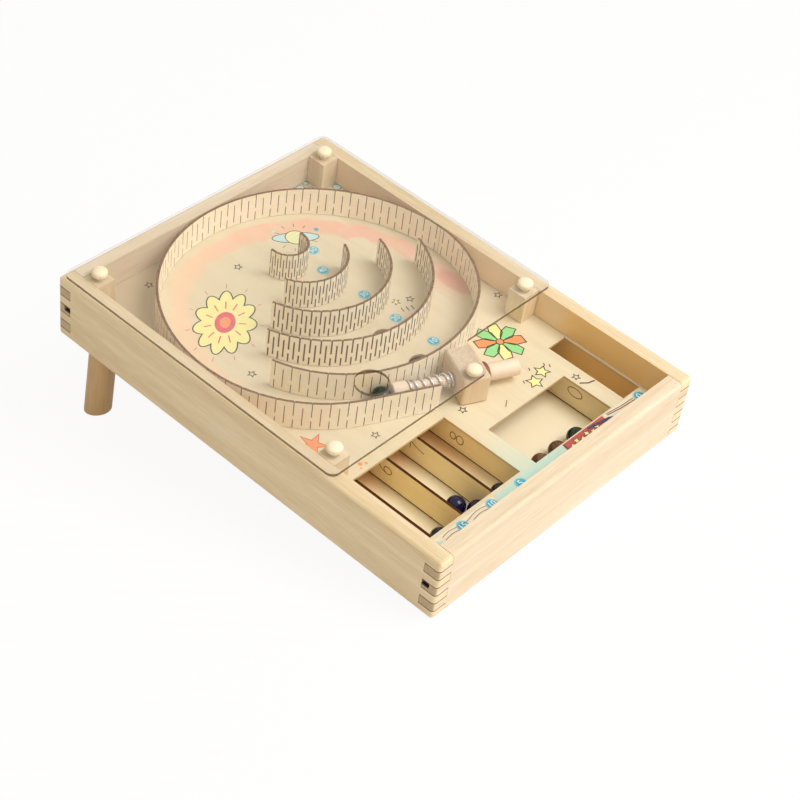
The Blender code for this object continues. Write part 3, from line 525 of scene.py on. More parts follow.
def slit_strip():
    tree = bpy.data.node_groups.new("slit_strip", "GeometryNodeTree")
    given = inlets(
        tree, Path="Geometry", Height="Float", Thickness="Float", Core="Float", Pitch="Float",
        Slit="Float", LowerSlit="Float", Bridge="Float", LowerWeb="Float", UpperWeb="Float",
        Face="Material", Cut="Material",
    )

    path = via(tree, "GeometryNodeMeshToCurve", {"Mesh": given["Path"]})
    length = via(tree, "GeometryNodeCurveLength", {"Curve": path})
    slits = do("FLOOR", do("DIVIDE", length, given["Pitch"]))
    last = do("ADD", do("MULTIPLY", slits, 2), 1)
    grid = via(tree, "GeometryNodeMeshGrid", {"Vertices X": do("ADD", last, 1), "Vertices Y": 4})
    index = via(tree, "GeometryNodeInputIndex")

    column = do("FLOOR", do("DIVIDE", do("ADD", index, 0.5), 4))
    row = do("SUBTRACT", index, do("MULTIPLY", column, 4))
    before = do("SUBTRACT", column, 1)
    number = do("FLOOR", do("DIVIDE", before, 2))
    side = do("SUBTRACT", do("MULTIPLY", do("FLOORED_MODULO", before, 2), 2), 1)
    first = do("DIVIDE", do("SUBTRACT", length, do("MULTIPLY", do("SUBTRACT", slits, 1), given["Pitch"])), 2)
    along = do("MULTIPLY_ADD", number, given["Pitch"], first)
    along = do("MULTIPLY_ADD", side, do("DIVIDE", given["Slit"], 2), along)
    at_end = do("GREATER_THAN", column, do("SUBTRACT", last, 0.5))
    along = do("MULTIPLY", along, do("GREATER_THAN", column, 0.5))
    along = do("ADD", do("MULTIPLY", along, do("SUBTRACT", 1, at_end)), do("MULTIPLY", at_end, length))

    def choose(share, low, high):
        return do("MULTIPLY_ADD", share, do("SUBTRACT", high, low), low)

    webbed = do("FLOORED_MODULO", number, 2)
    lower = choose(webbed, given["LowerSlit"], given["LowerWeb"])
    over_bridge = do("ADD", given["LowerSlit"], given["Bridge"])
    upper = choose(webbed, over_bridge, do("SUBTRACT", given["Height"], given["UpperWeb"]))
    rows = enumerate((lower, upper, given["Height"]), 1)
    levels = [do("MULTIPLY", do("COMPARE", row, step, 0.1), level) for step, level in rows]
    height = do("ADD", do("ADD", levels[0], levels[1]), levels[2])
    flat = via(tree, "ShaderNodeCombineXYZ", {0: along, 2: height})
    grid = via(tree, "GeometryNodeSetPosition", {"Geometry": grid, "Position": flat})

    cell = do("FLOOR", do("DIVIDE", do("ADD", index, 0.5), 3))
    middle = do("COMPARE", do("SUBTRACT", index, do("MULTIPLY", cell, 3)), 1, 0.1)
    webbed = do("FLOORED_MODULO", do("FLOOR", do("DIVIDE", do("SUBTRACT", cell, 1), 2)), 2)
    open_cell = do("MULTIPLY", do("FLOORED_MODULO", cell, 2), do("COMPARE", webbed, middle, 0.1))
    values = {"Geometry": grid, "Selection": open_cell}
    slit_cells, grid = put(tree, "GeometryNodeSeparateGeometry", values, domain="FACE").outputs

    def thicken(sheet, thickness, cut):
        """A closed slab from a flat sheet. Its faces remember which take the charred finish: the cut sides,
        and all of a painted shade core.
        """
        depth = via(tree, "ShaderNodeCombineXYZ", {1: do("MULTIPLY", thickness, -1)})
        slab = put(tree, "GeometryNodeExtrudeMesh", {"Mesh": sheet, "Offset": depth, "Individual": False})
        back = via(tree, "GeometryNodeFlipFaces", {"Mesh": sheet})
        for part, flag in ((slab.outputs["Mesh"], cut or slab.outputs["Side"]), (back, cut)):
            values = {"Geometry": part, "Name": "cut", "Value": flag}
            part = via(tree, "GeometryNodeStoreNamedAttribute", values, data_type="BOOLEAN", domain="FACE")
            tree.links.new(part, joined.inputs[0])

    joined = put(tree, "GeometryNodeJoinGeometry")
    thicken(grid, given["Thickness"], False)
    # The slit cells become a thin core in the wall's middle: a sheet of painted shade in the charred finish.
    inset = do("MULTIPLY", do("SUBTRACT", given["Thickness"], given["Core"]), -0.5)
    inset = via(tree, "ShaderNodeCombineXYZ", {1: inset})
    shade_core = via(tree, "GeometryNodeSetPosition", {"Geometry": slit_cells, "Offset": inset})
    thicken(shade_core, given["Core"], True)
    values = {"Geometry": joined.outputs[0], "Distance": 0.01}
    whole = via(tree, "GeometryNodeMergeByDistance", values)

    def move(operation, values):
        return via(tree, "ShaderNodeVectorMath", values, operation=operation)

    spot = xyz(via(tree, "GeometryNodeInputPosition"))
    sample = put(tree, "GeometryNodeSampleCurve", {"Curves": path, "Length": spot[0]}, mode="LENGTH").outputs
    across = move("CROSS_PRODUCT", {0: (0, 0, 1), 1: sample["Tangent"]})
    across = move("SCALE", {0: across, "Scale": do("MULTIPLY_ADD", given["Thickness"], 0.5, spot[1])})
    bent = move("ADD", {0: sample["Position"], 1: across})
    bent = move("ADD", {0: bent, 1: via(tree, "ShaderNodeCombineXYZ", {2: spot[2]})})
    whole = via(tree, "GeometryNodeSetPosition", {"Geometry": whole, "Position": bent})
    whole = real(tree, whole, given["Face"])
    cut = via(tree, "GeometryNodeInputNamedAttribute", {"Name": "cut"}, data_type="BOOLEAN")
    values = {"Geometry": whole, "Selection": cut, "Material": given["Cut"]}
    put(tree, "NodeGroupOutput", {0: via(tree, "GeometryNodeSetMaterial", values)})
    return tree


def grow(tree, seed, **values):
    """Runs a tree on a mesh and returns the plain mesh it makes."""
    carrier = show("carrier", seed)
    step = carrier.modifiers.new("shape", "NODES")
    step.node_group = tree
    for item in tree.interface.items_tree:
        if item.in_out == "INPUT" and item.name in values:
            step[item.identifier] = values[item.name]
    return plain_mesh(carrier)


strip_tree = slit_strip()
print("slit strip tree:", len(strip_tree.nodes), "nodes")

# %% [markdown]
# ## Bending the seven walls
# The ring is one long arc. The inner wall curls in from its right end through three bends, and the outer wall
# leaves its left end and runs straight past the plunger. The four pockets are arcs open to the back, each in
# line with the lowest point of the inner wall. Only the paths differ, and how close together the slits lie.

# %% Seven walls
STAND = playfield_top + WALL_GAP
STRIP = {
    "Height": BOX.z - STAND, "Thickness": WALL, "Core": 0.3, "LowerSlit": 7.4, "Bridge": 3.6,
    "LowerWeb": 3.0, "UpperWeb": 4.0, "Face": face_ply, "Cut": cut_and_shade_ply,
}
TRACK_PITCH, TRACK_SLIT, POCKET_SLIT = 6.0, 0.10, 0.30
RING_START, RING_END = math.radians(-2), math.radians(187)
INNER_BENDS = ((0.740, -55), (0.938, -68), (0.723, -39))
OUTER_BENDS = ((0.861, 58), (0.465, 0))
POCKETS = ((0.475, 0.124, 99, 2.0), (0.348, 0.277, 68, 2.6), (0.266, 0.479, 75, 3.2), (0.203, 0.689, 72, 3.6))
PATH_STEP = 0.8


def route(start, heading, bends):
    """Points along tangent bends, each given as (radius, angle) or, if straight, as (length, 0)."""
    points = [Vector(start)]
    for size, turn in bends:
        length = size * abs(turn) if turn else size
        count = max(2, round(length / PATH_STEP))
        for _ in range(count):
            heading += turn / count / 2
            chord = 2 * size * math.sin(abs(turn) / count / 2) if turn else length / count
            points.append(points[-1] + towards(heading) * chord)
            heading += turn / count / 2
    return points


def on_ring(angle):
    return RING_CENTRE + RING_RADIUS * towards(angle)


def bends(shares):
    """Bends from shares of the ring's radius and degrees."""
    return [(share * RING_RADIUS, math.radians(turn)) for share, turn in shares]


slip = WALL_GAP / RING_RADIUS
ring = route(on_ring(RING_START), RING_START + math.pi / 2, [(RING_RADIUS, RING_END - RING_START)])
inner = route(on_ring(RING_START - slip), RING_START - slip - math.pi / 2, bends(INNER_BENDS))
outer = route(on_ring(RING_END + slip), RING_END + slip + math.pi / 2, bends(OUTER_BENDS))
low_point = min(inner, key=lambda point: point.y)
tracks = {"ring": ring, "inner": inner, "outer": outer}
walls = {f"track_wall_{name}": (points, TRACK_PITCH, TRACK_SLIT) for name, points in tracks.items()}
for number, (back, share, half_sweep, pitch) in enumerate(POCKETS, 1):
    radius, half_sweep = share * RING_RADIUS, math.radians(half_sweep)
    centre = Vector((low_point.x, RING_CENTRE.y + back * RING_RADIUS))
    start = centre + radius * towards(-math.pi / 2 - half_sweep)
    points = route(start, -half_sweep, [(radius, 2 * half_sweep)])
    walls[f"pocket_wall_{number}"] = (points, pitch, POCKET_SLIT)

for name, (points, pitch, slit) in walls.items():
    path = points_mesh([(*point, STAND) for point in points])
    mesh = grow(strip_tree, path, Pitch=pitch, Slit=slit * pitch, **STRIP)
    settle(f"bent_{name}", smooth(mesh), "frame", [name])
print("inner wall's lowest point", [round(v, 1) for v in low_point])

# %% [markdown]
# ## A lathe
# Pegs, striker, handle and bumper are turned. A lathe only needs half an outline, so each is written as pairs
# of radius and height and swept round z. Short arcs in that list are the rounded shoulders that chisel and
# sandpaper leave; a sharp cylinder would look like plastic.

# %% Lathe
TURN_SIDES = 48


def shoulder(radius, height, size, upper=False, steps=5):
    """The rounded corner of a turning at its lower end, or at its upper one."""
    first, middle = (0, height - size) if upper else (-90, height + size)
    angles = [math.radians(first + 90 * i / steps) for i in range(steps + 1)]
    return [(radius - size + size * math.cos(a), middle + size * math.sin(a)) for a in angles]


def turned(profile):
    shape = bmesh.new()
    angles = [math.tau * i / TURN_SIDES for i in range(TURN_SIDES)]
    rings = []
    for radius, height in profile:
        if radius:
            rings.append([shape.verts.new((*(radius * towards(a)), height)) for a in angles])
        else:
            rings.append([shape.verts.new((0, 0, height))] * TURN_SIDES)
    for here, there in zip(rings, rings[1:]):
        for i in range(TURN_SIDES):
            corners = dict.fromkeys((here[i - 1], here[i], there[i], there[i - 1]))
            if len(corners) > 2:
                shape.faces.new(corners)
    return smooth(solid(shape, 1e-5))


print("lathe with", TURN_SIDES, "sides")

# %% [markdown]
# ## Five mushroom pegs
# The clear sheet is held by five turned pegs pressed into the posts and the plunger block. They are the same
# turning, so one is made and a small tree sets it on five points, each turned by its own random angle.
# Realize Instances makes them real, because a library part can't hold instances.

# %% Pegs
birch = wood("turned_birch", "z", (0.94, 0.83, 0.65), (0.86, 0.72, 0.51))
PEGS = ("peg_back_left", "peg_back_right", "peg_front_left", "peg_front_right", "peg_plunger_block")
peg_low, peg_high = span(PEGS[0])
PEG_HEAD, PEG_SHANK, HEAD_HEIGHT, DOME_STEPS = 5.7, 3.0, 5.0, 12
SEED = 7


def planter():
    tree = bpy.data.node_groups.new("set_on_points", "GeometryNodeTree")
    given = inlets(tree, Points="Geometry", Piece="Object", Turn="Float", Look="Material")
    piece = put(tree, "GeometryNodeObjectInfo", {"Object": given["Piece"]}).outputs["Geometry"]
    values = {"Seed": SEED, 3: given["Turn"]}
    angle = put(tree, "FunctionNodeRandomValue", values, data_type="FLOAT").outputs[1]
    spin = via(tree, "ShaderNodeCombineXYZ", {2: angle})
    points = via(tree, "GeometryNodeMeshToPoints", {"Mesh": given["Points"]})
    values = {"Points": points, "Instance": piece, "Rotation": spin}
    stood = via(tree, "GeometryNodeInstanceOnPoints", values)
    put(tree, "NodeGroupOutput", {0: real(tree, stood, given["Look"])})
    return tree


def plant(mesh, points, look, spin=math.tau):
    """Copies of a mesh on points, as one mesh."""
    pattern = bpy.data.objects.new("pattern", mesh)
    made = grow(plant_tree, points_mesh(points, False), Piece=pattern, Turn=spin, Look=look)
    bpy.data.objects.remove(pattern)
    return made


plant_tree = planter()
neck = peg_high.z - HEAD_HEIGHT
dome = []
for k in range(DOME_STEPS + 1):
    out_share, up_share = towards(math.pi / 2 * k / DOME_STEPS)
    dome.append((PEG_HEAD * out_share, HEAD_HEIGHT * (0.45 + 0.55 * up_share)))
peg = [(0, peg_low.z - neck), *shoulder(PEG_SHANK, peg_low.z - neck, 0.6), (PEG_SHANK, 0)]
peg += [*shoulder(PEG_HEAD, 0, 0.5), *dome[:-1], (0, dome[-1][1])]
places = [(*middle_of(name).xy, neck) for name in PEGS]
settle("mushroom_pegs", plant(turned(peg), places, birch), "frame", PEGS)

# %% [markdown]
# ## The plunger
# A rod with a thicker striker slides through the block; a handle sits on its far end, and a rubber ring
# between handle and block takes the knock. All three are turned about the joint's own axis, so the axis is
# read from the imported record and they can't drift from the hole.

# %% Plunger
pull = next(joint for joint in frame["joints"] if joint["name"] == "plunger_pull")
block = TO_BOX @ Vector(pull["pos_m"])
along = (TO_BOX.to_3x3() @ Vector(pull["axis"])).normalized()
heading = math.atan2(along.y, along.x)
ACROSS = Matrix.Rotation(heading, 4, "Z") @ Matrix.Rotation(math.pi / 2, 4, "Y")
PLUNGE = FROM_BOX @ Matrix.Translation(block) @ ACROSS
ROD, BORE, STRIKER, GRIP, BUMPER = 4.0, 4.3, 6.0, 6.2, 8.0
STRIKER_TIP, SPRING_SEAT, BLOCK_FACE = -54.8, -44.1, 9.9
BUMPER_SEAT, BUMPER_TOP, GRIP_SEAT, ROD_END, GRIP_END = 10.2, 15.6, 15.9, 28.2, 39.5
PLAY = 0.3

rod = [(0, STRIKER_TIP), *shoulder(STRIKER, STRIKER_TIP, 1), *shoulder(STRIKER, SPRING_SEAT, 0.5, True)]
rod += [(ROD, SPRING_SEAT), (ROD, ROD_END), (0, ROD_END)]
grip = [(0, ROD_END + PLAY), (BORE, ROD_END + PLAY), (BORE, GRIP_SEAT)]
grip += [*shoulder(GRIP, GRIP_SEAT, 1), *shoulder(GRIP, GRIP_END, 1.4, True), (0, GRIP_END)]
cushion = [(BORE, BUMPER_SEAT), *shoulder(BUMPER, BUMPER_SEAT, 1.2), *shoulder(BUMPER, BUMPER_TOP, 1.2, True)]
cushion += [(BORE, BUMPER_TOP), (BORE, BUMPER_SEAT)]
rod_birch = wood("rod_birch", "x", (0.86, 0.70, 0.56), (0.78, 0.60, 0.44))
rubber, surface = material("bumper_rubber", (0.22, 0.065, 0.035), 0.6)
dust = ramp(cloud(box_place(surface), 2.5, 3), 0.45, 0.8)
colour = blend(dust, (0.20, 0.055, 0.030), (0.30, 0.12, 0.08))
feed(surface, {"Base Color": colour, "Roughness": do("MULTIPLY_ADD", dust, 0.25, 0.45)})
settle("turned_rod", turned(rod), "plunger", ["plunger_rod"], [rod_birch], PLUNGE)
settle("turned_handle", turned(grip), "plunger", ["plunger_handle"], [rod_birch], PLUNGE)
settle("rubber_bumper", turned(cushion), "plunger", ["plunger_bumper"], [rubber], PLUNGE)

# %% [markdown]
# ## The spring
# A compression spring has closed turns at both ends, so that it stands square, and open turns between. The
# turning path is written as a formula; a tree sweeps the round wire along it. On the real toy its block end
# stays and its striker end follows the rod, so it is squashed towards the block as the plunger is pulled;
# here it rides on the frame, with a mesh of its own.

# %% Spring
WIRE, COIL = 1.6, 5.1
SPRING_LOW, SPRING_HIGH = SPRING_SEAT + PLAY, -BLOCK_FACE - PLAY
CLOSED_TURNS, OPEN_TURNS, TURN_POINTS = 1.0, 5.0, 28
CLOSED_PITCH = WIRE * 1.04


def wire_sweep():
    tree = bpy.data.node_groups.new("wire_sweep", "GeometryNodeTree")
    given = inlets(tree, Path="Geometry", Radius="Float", Sides="Int", Look="Material")
    path = via(tree, "GeometryNodeMeshToCurve", {"Mesh": given["Path"]})
    values = {"Resolution": given["Sides"], "Radius": given["Radius"]}
    section = via(tree, "GeometryNodeCurvePrimitiveCircle", values, mode="RADIUS")
    values = {"Curve": path, "Profile Curve": section, "Fill Caps": True}
    wire = via(tree, "GeometryNodeCurveToMesh", values)
    wire = via(tree, "GeometryNodeMergeByDistance", {"Geometry": wire, "Distance": 0.001})
    put(tree, "NodeGroupOutput", {0: real(tree, wire, given["Look"])})
    return tree


def coil_height(turns):
    """Height of the wire's middle after so many turns: slow in the closed ends, steady between."""
    low, high = SPRING_LOW + WIRE / 2, SPRING_HIGH - WIRE / 2
    shut = CLOSED_TURNS * CLOSED_PITCH
    if turns < CLOSED_TURNS:
        return low + shut * turns / CLOSED_TURNS
    if turns > CLOSED_TURNS + OPEN_TURNS:
        return high - shut * (2 * CLOSED_TURNS + OPEN_TURNS - turns) / CLOSED_TURNS
    return low + shut + (high - low - 2 * shut) * (turns - CLOSED_TURNS) / OPEN_TURNS


coil = []
for i in range(round((2 * CLOSED_TURNS + OPEN_TURNS) * TURN_POINTS) + 1):
    turns = i / TURN_POINTS
    coil.append((*(COIL * towards(math.tau * turns)), coil_height(turns)))
steel, surface = material("spring_steel", (0.80, 0.80, 0.79), 0.25)
drawn = ramp(cloud(box_place(surface), 0.7, 3), 0.3, 0.7)
colour = blend(drawn, (0.86, 0.86, 0.85), (0.62, 0.61, 0.59))
rough = do("MULTIPLY_ADD", drawn, 0.2, 0.16)
feed(surface, {"Metallic": 1.0, "Base Color": colour, "Roughness": rough})
wire = smooth(grow(wire_sweep(), points_mesh(coil), Radius=WIRE / 2, Sides=12, Look=steel))
spring = settle("coil_spring", wire, "frame", ["plunger_spring"], place=PLUNGE)
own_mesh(spring)

# %% [markdown]
# ## Glass marbles
# Eight marbles lie in the channels, the tray and the lane. Pressed glass marbles are round but not perfect,
# and they carry streaks of other colours that were twisted in while the glass was soft. A sphere of even
# triangles is rippled by a few hundredths of a millimetre; the streaks are noise pulled out round one axis.

# %% Marbles
MARBLE, RIPPLE = 7.0, 0.003


def streaked_glass(name, deep, light, spark):
    look, surface = material(name, deep, 0.06)
    place = box_place(surface)
    bands = cloud(place, 7, 2, (1, 0.45, 0.8), 3.2)
    colour = blend(ramp(bands, 0.40, 0.62), deep, light)
    streaks = cloud(place, 4, 2, (0.5, 1, 1), 2.5)
    colour = blend(ramp(streaks, 0.66, 0.74), colour, spark)
    feed(surface, {"Base Color": colour, "Specular IOR Level": 0.2})
    feed(surface, {"Coat Weight": 0.3, "Coat Roughness": 0.03})
    return look


TONES = {
    "dark": ((0.006, 0.007, 0.012), (0.014, 0.018, 0.036), (0.05, 0.06, 0.09)),
    "blue": ((0.003, 0.003, 0.020), (0.006, 0.007, 0.060), (0.03, 0.04, 0.15)),
    "brown": ((0.075, 0.030, 0.012), (0.21, 0.092, 0.034), (0.34, 0.18, 0.07)),
    "green": ((0.008, 0.016, 0.009), (0.020, 0.050, 0.026), (0.09, 0.15, 0.09)),
}
GLASS = {name: streaked_glass(f"{name}_glass", *tones) for name, tones in TONES.items()}
MARBLES = {
    "marble_channel_1": "dark", "marble_channel_2_front": "blue", "marble_channel_2_back": "blue",
    "marble_channel_3": "dark", "marble_tray_1": "brown", "marble_tray_2": "brown",
    "marble_tray_3": "green", "marble_lane": "green",
}
for name, glass in MARBLES.items():
    shape = bmesh.new()
    bmesh.ops.create_icosphere(shape, subdivisions=5, radius=MARBLE)
    for vertex in shape.verts:
        x, y, z = vertex.co
        ripple = math.sin(x * 0.9 + 1.3) * math.sin(y * 0.8) * math.cos(z * 0.7)
        vertex.co *= 1 - RIPPLE * (1 + ripple)
    mesh = solid(shape)
    mesh.shade_smooth()
    middle = FROM_BOX @ Matrix.Translation(middle_of(name))
    settle(f"glass_{name}", mesh, name, [name], [GLASS[glass]], middle)

# %% [markdown]
# ## The clear cover
# A sheet of clear acrylic lies over the track. In front it steps back beside the plunger block, so that the
# handle stays free, and a round hole over the lane lets a marble in. Its outline and six holes are splines of
# one flat curve: Blender fills between them, extrudes the sheet and eases its edges. The edges along the left
# and the front and round the hole carry a painted dark shade, the look of a clear edge seen from its near
# side, and the others stay clear, so the edges get two finishes of their own.

# %% Cover
cover_low, cover_high = span("cover")
EASE = 0.45
LOADING_HOLE, PEG_HOLE = 12, 3.3
STEP_BACK, EDGE_BACK = 13.7, 3.7
LOADING_BACK, LOADING_ASIDE = 9.8, 3
WIDE, TIGHT = 6, 4
FACE, EDGE, SHADED_EDGE = range(3)


def arc(middle, radius, first, last, steps):
    angles = [first + (last - first) * i / steps for i in range(steps + 1)]
    return [Vector(middle) + radius * towards(a) for a in angles]


def oval(middle, wide, tall, turn=0.0, sides=48):
    to_place = Matrix.Rotation(turn, 2) @ Matrix(((wide, 0), (0, tall)))
    return [Vector(middle) + to_place @ towards(math.tau * i / sides) for i in range(sides)]


def disc(middle, radius, sides=48):
    return oval(middle, radius, radius, 0, sides)


def eased(corners, steps=10):
    """An outline with each corner (x, y, radius) rounded off."""
    points = []
    for k, (x, y, radius) in enumerate(corners):
        here = Vector((x, y))
        before = (Vector(corners[k - 1][:2]) - here).normalized()
        after = (Vector(corners[(k + 1) % len(corners)][:2]) - here).normalized()
        half = before.angle(after) / 2
        middle = here + (before + after).normalized() * (radius / math.sin(half))
        first = here + before * (radius / math.tan(half)) - middle
        last = here + after * (radius / math.tan(half)) - middle
        sweep = first.angle_signed(last)
        begin = math.atan2(first.y, first.x)
        points += arc(middle, radius, begin, begin - sweep, steps)
    return points


def flat_curve(name, outlines, half, ease):
    """A closed sheet between outlines, the inner ones holes, lying about z = 0."""
    curve = bpy.data.curves.new(name, "CURVE")
    curve.dimensions = "2D"
    curve.fill_mode = "BOTH"
    curve.extrude = half - ease
    curve.bevel_depth = ease
    curve.bevel_resolution = 1
    curve.offset = -ease
    for outline in outlines:
        spline = curve.splines.new("POLY")
        spline.points.add(len(outline) - 1)
        spline.points.foreach_set("co", [v for point in outline for v in (*point, 0, 1)])
        spline.use_cyclic_u = True
    shape = bmesh.new()
    shape.from_mesh(plain_mesh(show(name, curve)))
    return solid(shape, 0.002)


def clear_sheet(name, colour, alpha, roughness, gloss=0.3):
    look, surface = material(name, colour, roughness)
    smear = ramp(cloud(box_place(surface), 30, 3, (1, 0.5, 1), 1.5), 0.35, 0.7)
    rough = do("MULTIPLY_ADD", smear, 0.06, roughness)
    feed(surface, {"Alpha": alpha, "Specular IOR Level": gloss, "Roughness": rough})
    return look


side = Vector((-along.y, along.x))
near, step = cover_low.y, block.y + STEP_BACK
edge = block.xy + along.xy * (BLOCK_FACE - EDGE_BACK)
lean = side.x / side.y
outline = eased((
    (cover_low.x, near, WIDE),
    (edge.x + (near - edge.y) * lean, near, TIGHT),
    (edge.x + (step - edge.y) * lean, step, TIGHT),
    (cover_high.x, step, WIDE),
    (cover_high.x, cover_high.y, WIDE),
    (cover_low.x, cover_high.y, WIDE),
))
loading = middle_of("marble_lane").xy - along.xy * LOADING_BACK - side * LOADING_ASIDE
holes = [disc(loading, LOADING_HOLE, 64), *[disc(place[:2], PEG_HOLE, 32) for place in places]]
mesh = flat_curve("sheet", [outline, *holes], (cover_high.z - cover_low.z) / 2, EASE)
sheet_looks = [
    clear_sheet("acrylic_face", (0.66, 0.70, 0.74), 0.055, 0.08),
    clear_sheet("acrylic_edge", (0.70, 0.66, 0.56), 0.30, 0.25),
    # The last finish is a painted dark shade for the edges on the near side.
    clear_sheet("acrylic_painted_dark_edge", (0.12, 0.060, 0.020), 0.78, 0.5, 0.1),
]
finish = []
for face in mesh.polygons:
    by_peg = min((face.center.xy - Vector(place[:2])).length for place in places) < PEG_HOLE + 0.7
    by_loading = (face.center.xy - loading).length < LOADING_HOLE + 1
    # Edges facing left and front, and round the loading hole, take the painted dark shade, but not those by
    # the peg holes.
    painted_dark = by_loading or face.normal.x + face.normal.y < -0.5
    level = abs(face.normal.z)
    finish.append(FACE if level >= 0.9 else SHADED_EDGE if level < 0.3 and painted_dark and not by_peg else EDGE)
middle = FROM_BOX @ Matrix.Translation((0, 0, middle_of("cover").z))
settle("clear_cover", mesh, "frame", ["cover"], sheet_looks, middle)
mesh.polygons.foreach_set("material_index", finish)
print("sawn edge faces", finish.count(SHADED_EDGE), "of", len(finish))

# %% [markdown]
# ## Ink on the board
# The board is printed like a poster: small stars, numbered dots, bright pictures. Ink is a film far thinner
# than anything else here. A texture would need an image, so each colour is a mesh of flat closed plates
# three hundredths of a millimetre thick, and each layer starts just above the one it overprints.

# %% Ink helpers
FILM, LAYER = 0.03, 0.04
INK = playfield_top + 0.02


def plate(shape, outline, layer=0):
    """A thin closed plate with this outline."""
    low = INK + LAYER * layer
    under = [shape.verts.new((*point, low)) for point in outline]
    over = [shape.verts.new((*point, low + FILM)) for point in outline]
    shape.faces.new(under)
    shape.faces.new(over)
    for i in range(len(outline)):
        shape.faces.new((under[i - 1], under[i], over[i], over[i - 1]))


def line(shape, points, width, layer=0, closed=False):
    """A drawn line of even width, mitred at its corners, as a thin closed band."""
    points = [Vector(point) for point in points]
    low = INK + LAYER * layer
    high = low + FILM
    rows = []
    for i, here in enumerate(points):
        before = points[i - 1] if closed or i else here * 2 - points[1]
        after = points[(i + 1) % len(points)] if closed or i < len(points) - 1 else here * 2 - points[i - 1]
        ahead = ((here - before).normalized() + (after - here).normalized()).normalized()
        reach = width / 2 / max(0.4, ahead.dot((after - here).normalized()))
        across = Vector((-ahead.y, ahead.x)) * reach
        corners = ((here - across, low), (here + across, low), (here + across, high), (here - across, high))
        rows.append([shape.verts.new((*point, height)) for point, height in corners])
    pairs = list(zip(rows, rows[1:])) + ([(rows[-1], rows[0])] if closed else [])
    for here, there in pairs:
        for k in range(4):
            shape.faces.new((here[k - 1], here[k], there[k], there[k - 1]))
    if not closed:
        shape.faces.new(rows[0])
        shape.faces.new(rows[-1])


def star(middle, radius, inner=0.46, turn=0.0, rays=5):
    radii = (radius, radius * inner)
    return [Vector(middle) + radii[i % 2] * towards(turn + math.pi * i / rays) for i in range(2 * rays)]


def ink_look(name, colour):
    """Ink that has soaked into the ply a little unevenly."""
    look, surface = material(name, colour, 0.5)
    thin = ramp(cloud(box_place(surface), 1.4, 3, ALONG["y"]), 0.35, 0.8)
    paler = [0.86 * c + 0.14 * p for c, p in zip(colour, PALE_PLY)]
    rough = do("MULTIPLY_ADD", thin, 0.15, 0.42)
    feed(surface, {"Base Color": blend(thin, colour, paler), "Roughness": rough})
    return look


INKS = {
    "black": (0.035, 0.024, 0.018), "blue": (0.035, 0.42, 0.60), "white": (0.90, 0.92, 0.93),
    "yellow": (0.90, 0.84, 0.36), "pink": (0.72, 0.10, 0.15), "green": (0.28, 0.70, 0.28),
    "orange": (0.88, 0.30, 0.11), "sky": (0.52, 0.76, 0.78), "teal": (0.54, 0.75, 0.67),
    "brown": (0.30, 0.13, 0.05), "cream": (0.84, 0.77, 0.62), "rose": (0.50, 0.050, 0.055),
    "navy": (0.018, 0.020, 0.075),
}
print(len(INKS), "inks")

# %% [markdown]
# ## Stars on points
# Little five-rayed outline stars are strewn over the board. They are all one star, so the tree that set the
# pegs sets these too: one outline, nine points, a small random turn.

# %% Stars
looks = {name: ink_look(f"ink_{name}", colour) for name, colour in INKS.items()}
STAR, STAR_LINE = 3.8, 0.58
STARS = (
    (121.6, 301.6), (50.5, 214.2), (59.6, 327.4), (181.3, 201.7), (191.5, 197.5), (133.9, 96.2),
    (71.3, 118.6), (244.2, 159.2), (219.6, 66.1),
)
pattern = flat_curve("star", [star((0, 0), STAR), star((0, 0), STAR * STAR_LINE)], FILM / 2, 0)
points = [(*spot, INK + FILM / 2) for spot in STARS]
settle("star_prints", plant(pattern, points, looks["black"], 0.7), "frame")

# %% [markdown]
# ## Pictures in few shapes
# The bright pictures are drawn from circles, stars and bands: a sunflower, a ringed planet, a pinwheel, a
# big star and bubbles. Colour goes down first and the dark line last, as a printer would do it.

# %% Pictures
sheets = {name: bmesh.new() for name in INKS}


def fill(ink, outline, layer=0):
    plate(sheets[ink], outline, layer)


def draw(points, width=0.6, layer=2, closed=False, ink="black"):
    line(sheets[ink], points, width, layer, closed)


def inked(ink, outline, width, layer=0, edge="black"):
    """A filled shape with a line round it."""
    fill(ink, outline, layer)
    draw(outline, width, layer + 1, True, edge)


def petals(middle, radius, count, depth):
    angles = [math.tau * i / (count * 12) for i in range(count * 12)]
    reach = [radius * (1 - depth + depth * abs(math.sin(a * count / 2))) for a in angles]
    return [Vector(middle) + r * towards(a) for r, a in zip(reach, angles)]


SUN, PETALS, LONGER = Vector((73, 264)), 11, Matrix.Scale(1.55, 2, Vector((0.8, 0.6)))


def on_sun(outline):
    return [SUN + LONGER @ (Vector(point) - SUN) for point in outline]


inked("yellow", on_sun(petals(SUN, 22, PETALS, 0.24)), 0.9)
fill("pink", on_sun(disc(SUN, 7.2)), 1)
fill("orange", on_sun(disc(SUN, 3.8)), 2)
for k in range(PETALS):
    ray = towards(math.tau * (k + 0.5) / PETALS)
    draw(on_sun([SUN + ray * 9.5, SUN + ray * 14.5]), 0.9, 1, ink="pink")
    draw(on_sun([SUN + ray * 24, SUN + ray * 27]), 0.5, 1, ink="pink")

PLANET = Vector((177.5, 299))
inked("sky", oval(PLANET, 17.5, 5.6, -0.6), 0.6)
inked("yellow", disc(PLANET, 7.6), 0.6, 2)
for turn in (0.35, 0.9, 1.5, 2.1, 3.3, 3.9, 5.3):
    draw([PLANET + towards(turn) * 12.5, PLANET + towards(turn) * 16], 0.45, 1)
for shift in (-2.6, 0.6, 3.4):
    reach = math.sqrt(6.8**2 - shift**2)
    stripe = [PLANET + Vector((share * reach, shift + 0.5 * share)) for share in (-1, 0, 1)]
    draw(stripe, 0.8, 3, ink="sky")
fill("blue", disc((196, 296), 1.8))
fill("sky", disc((170, 314), 1.4))

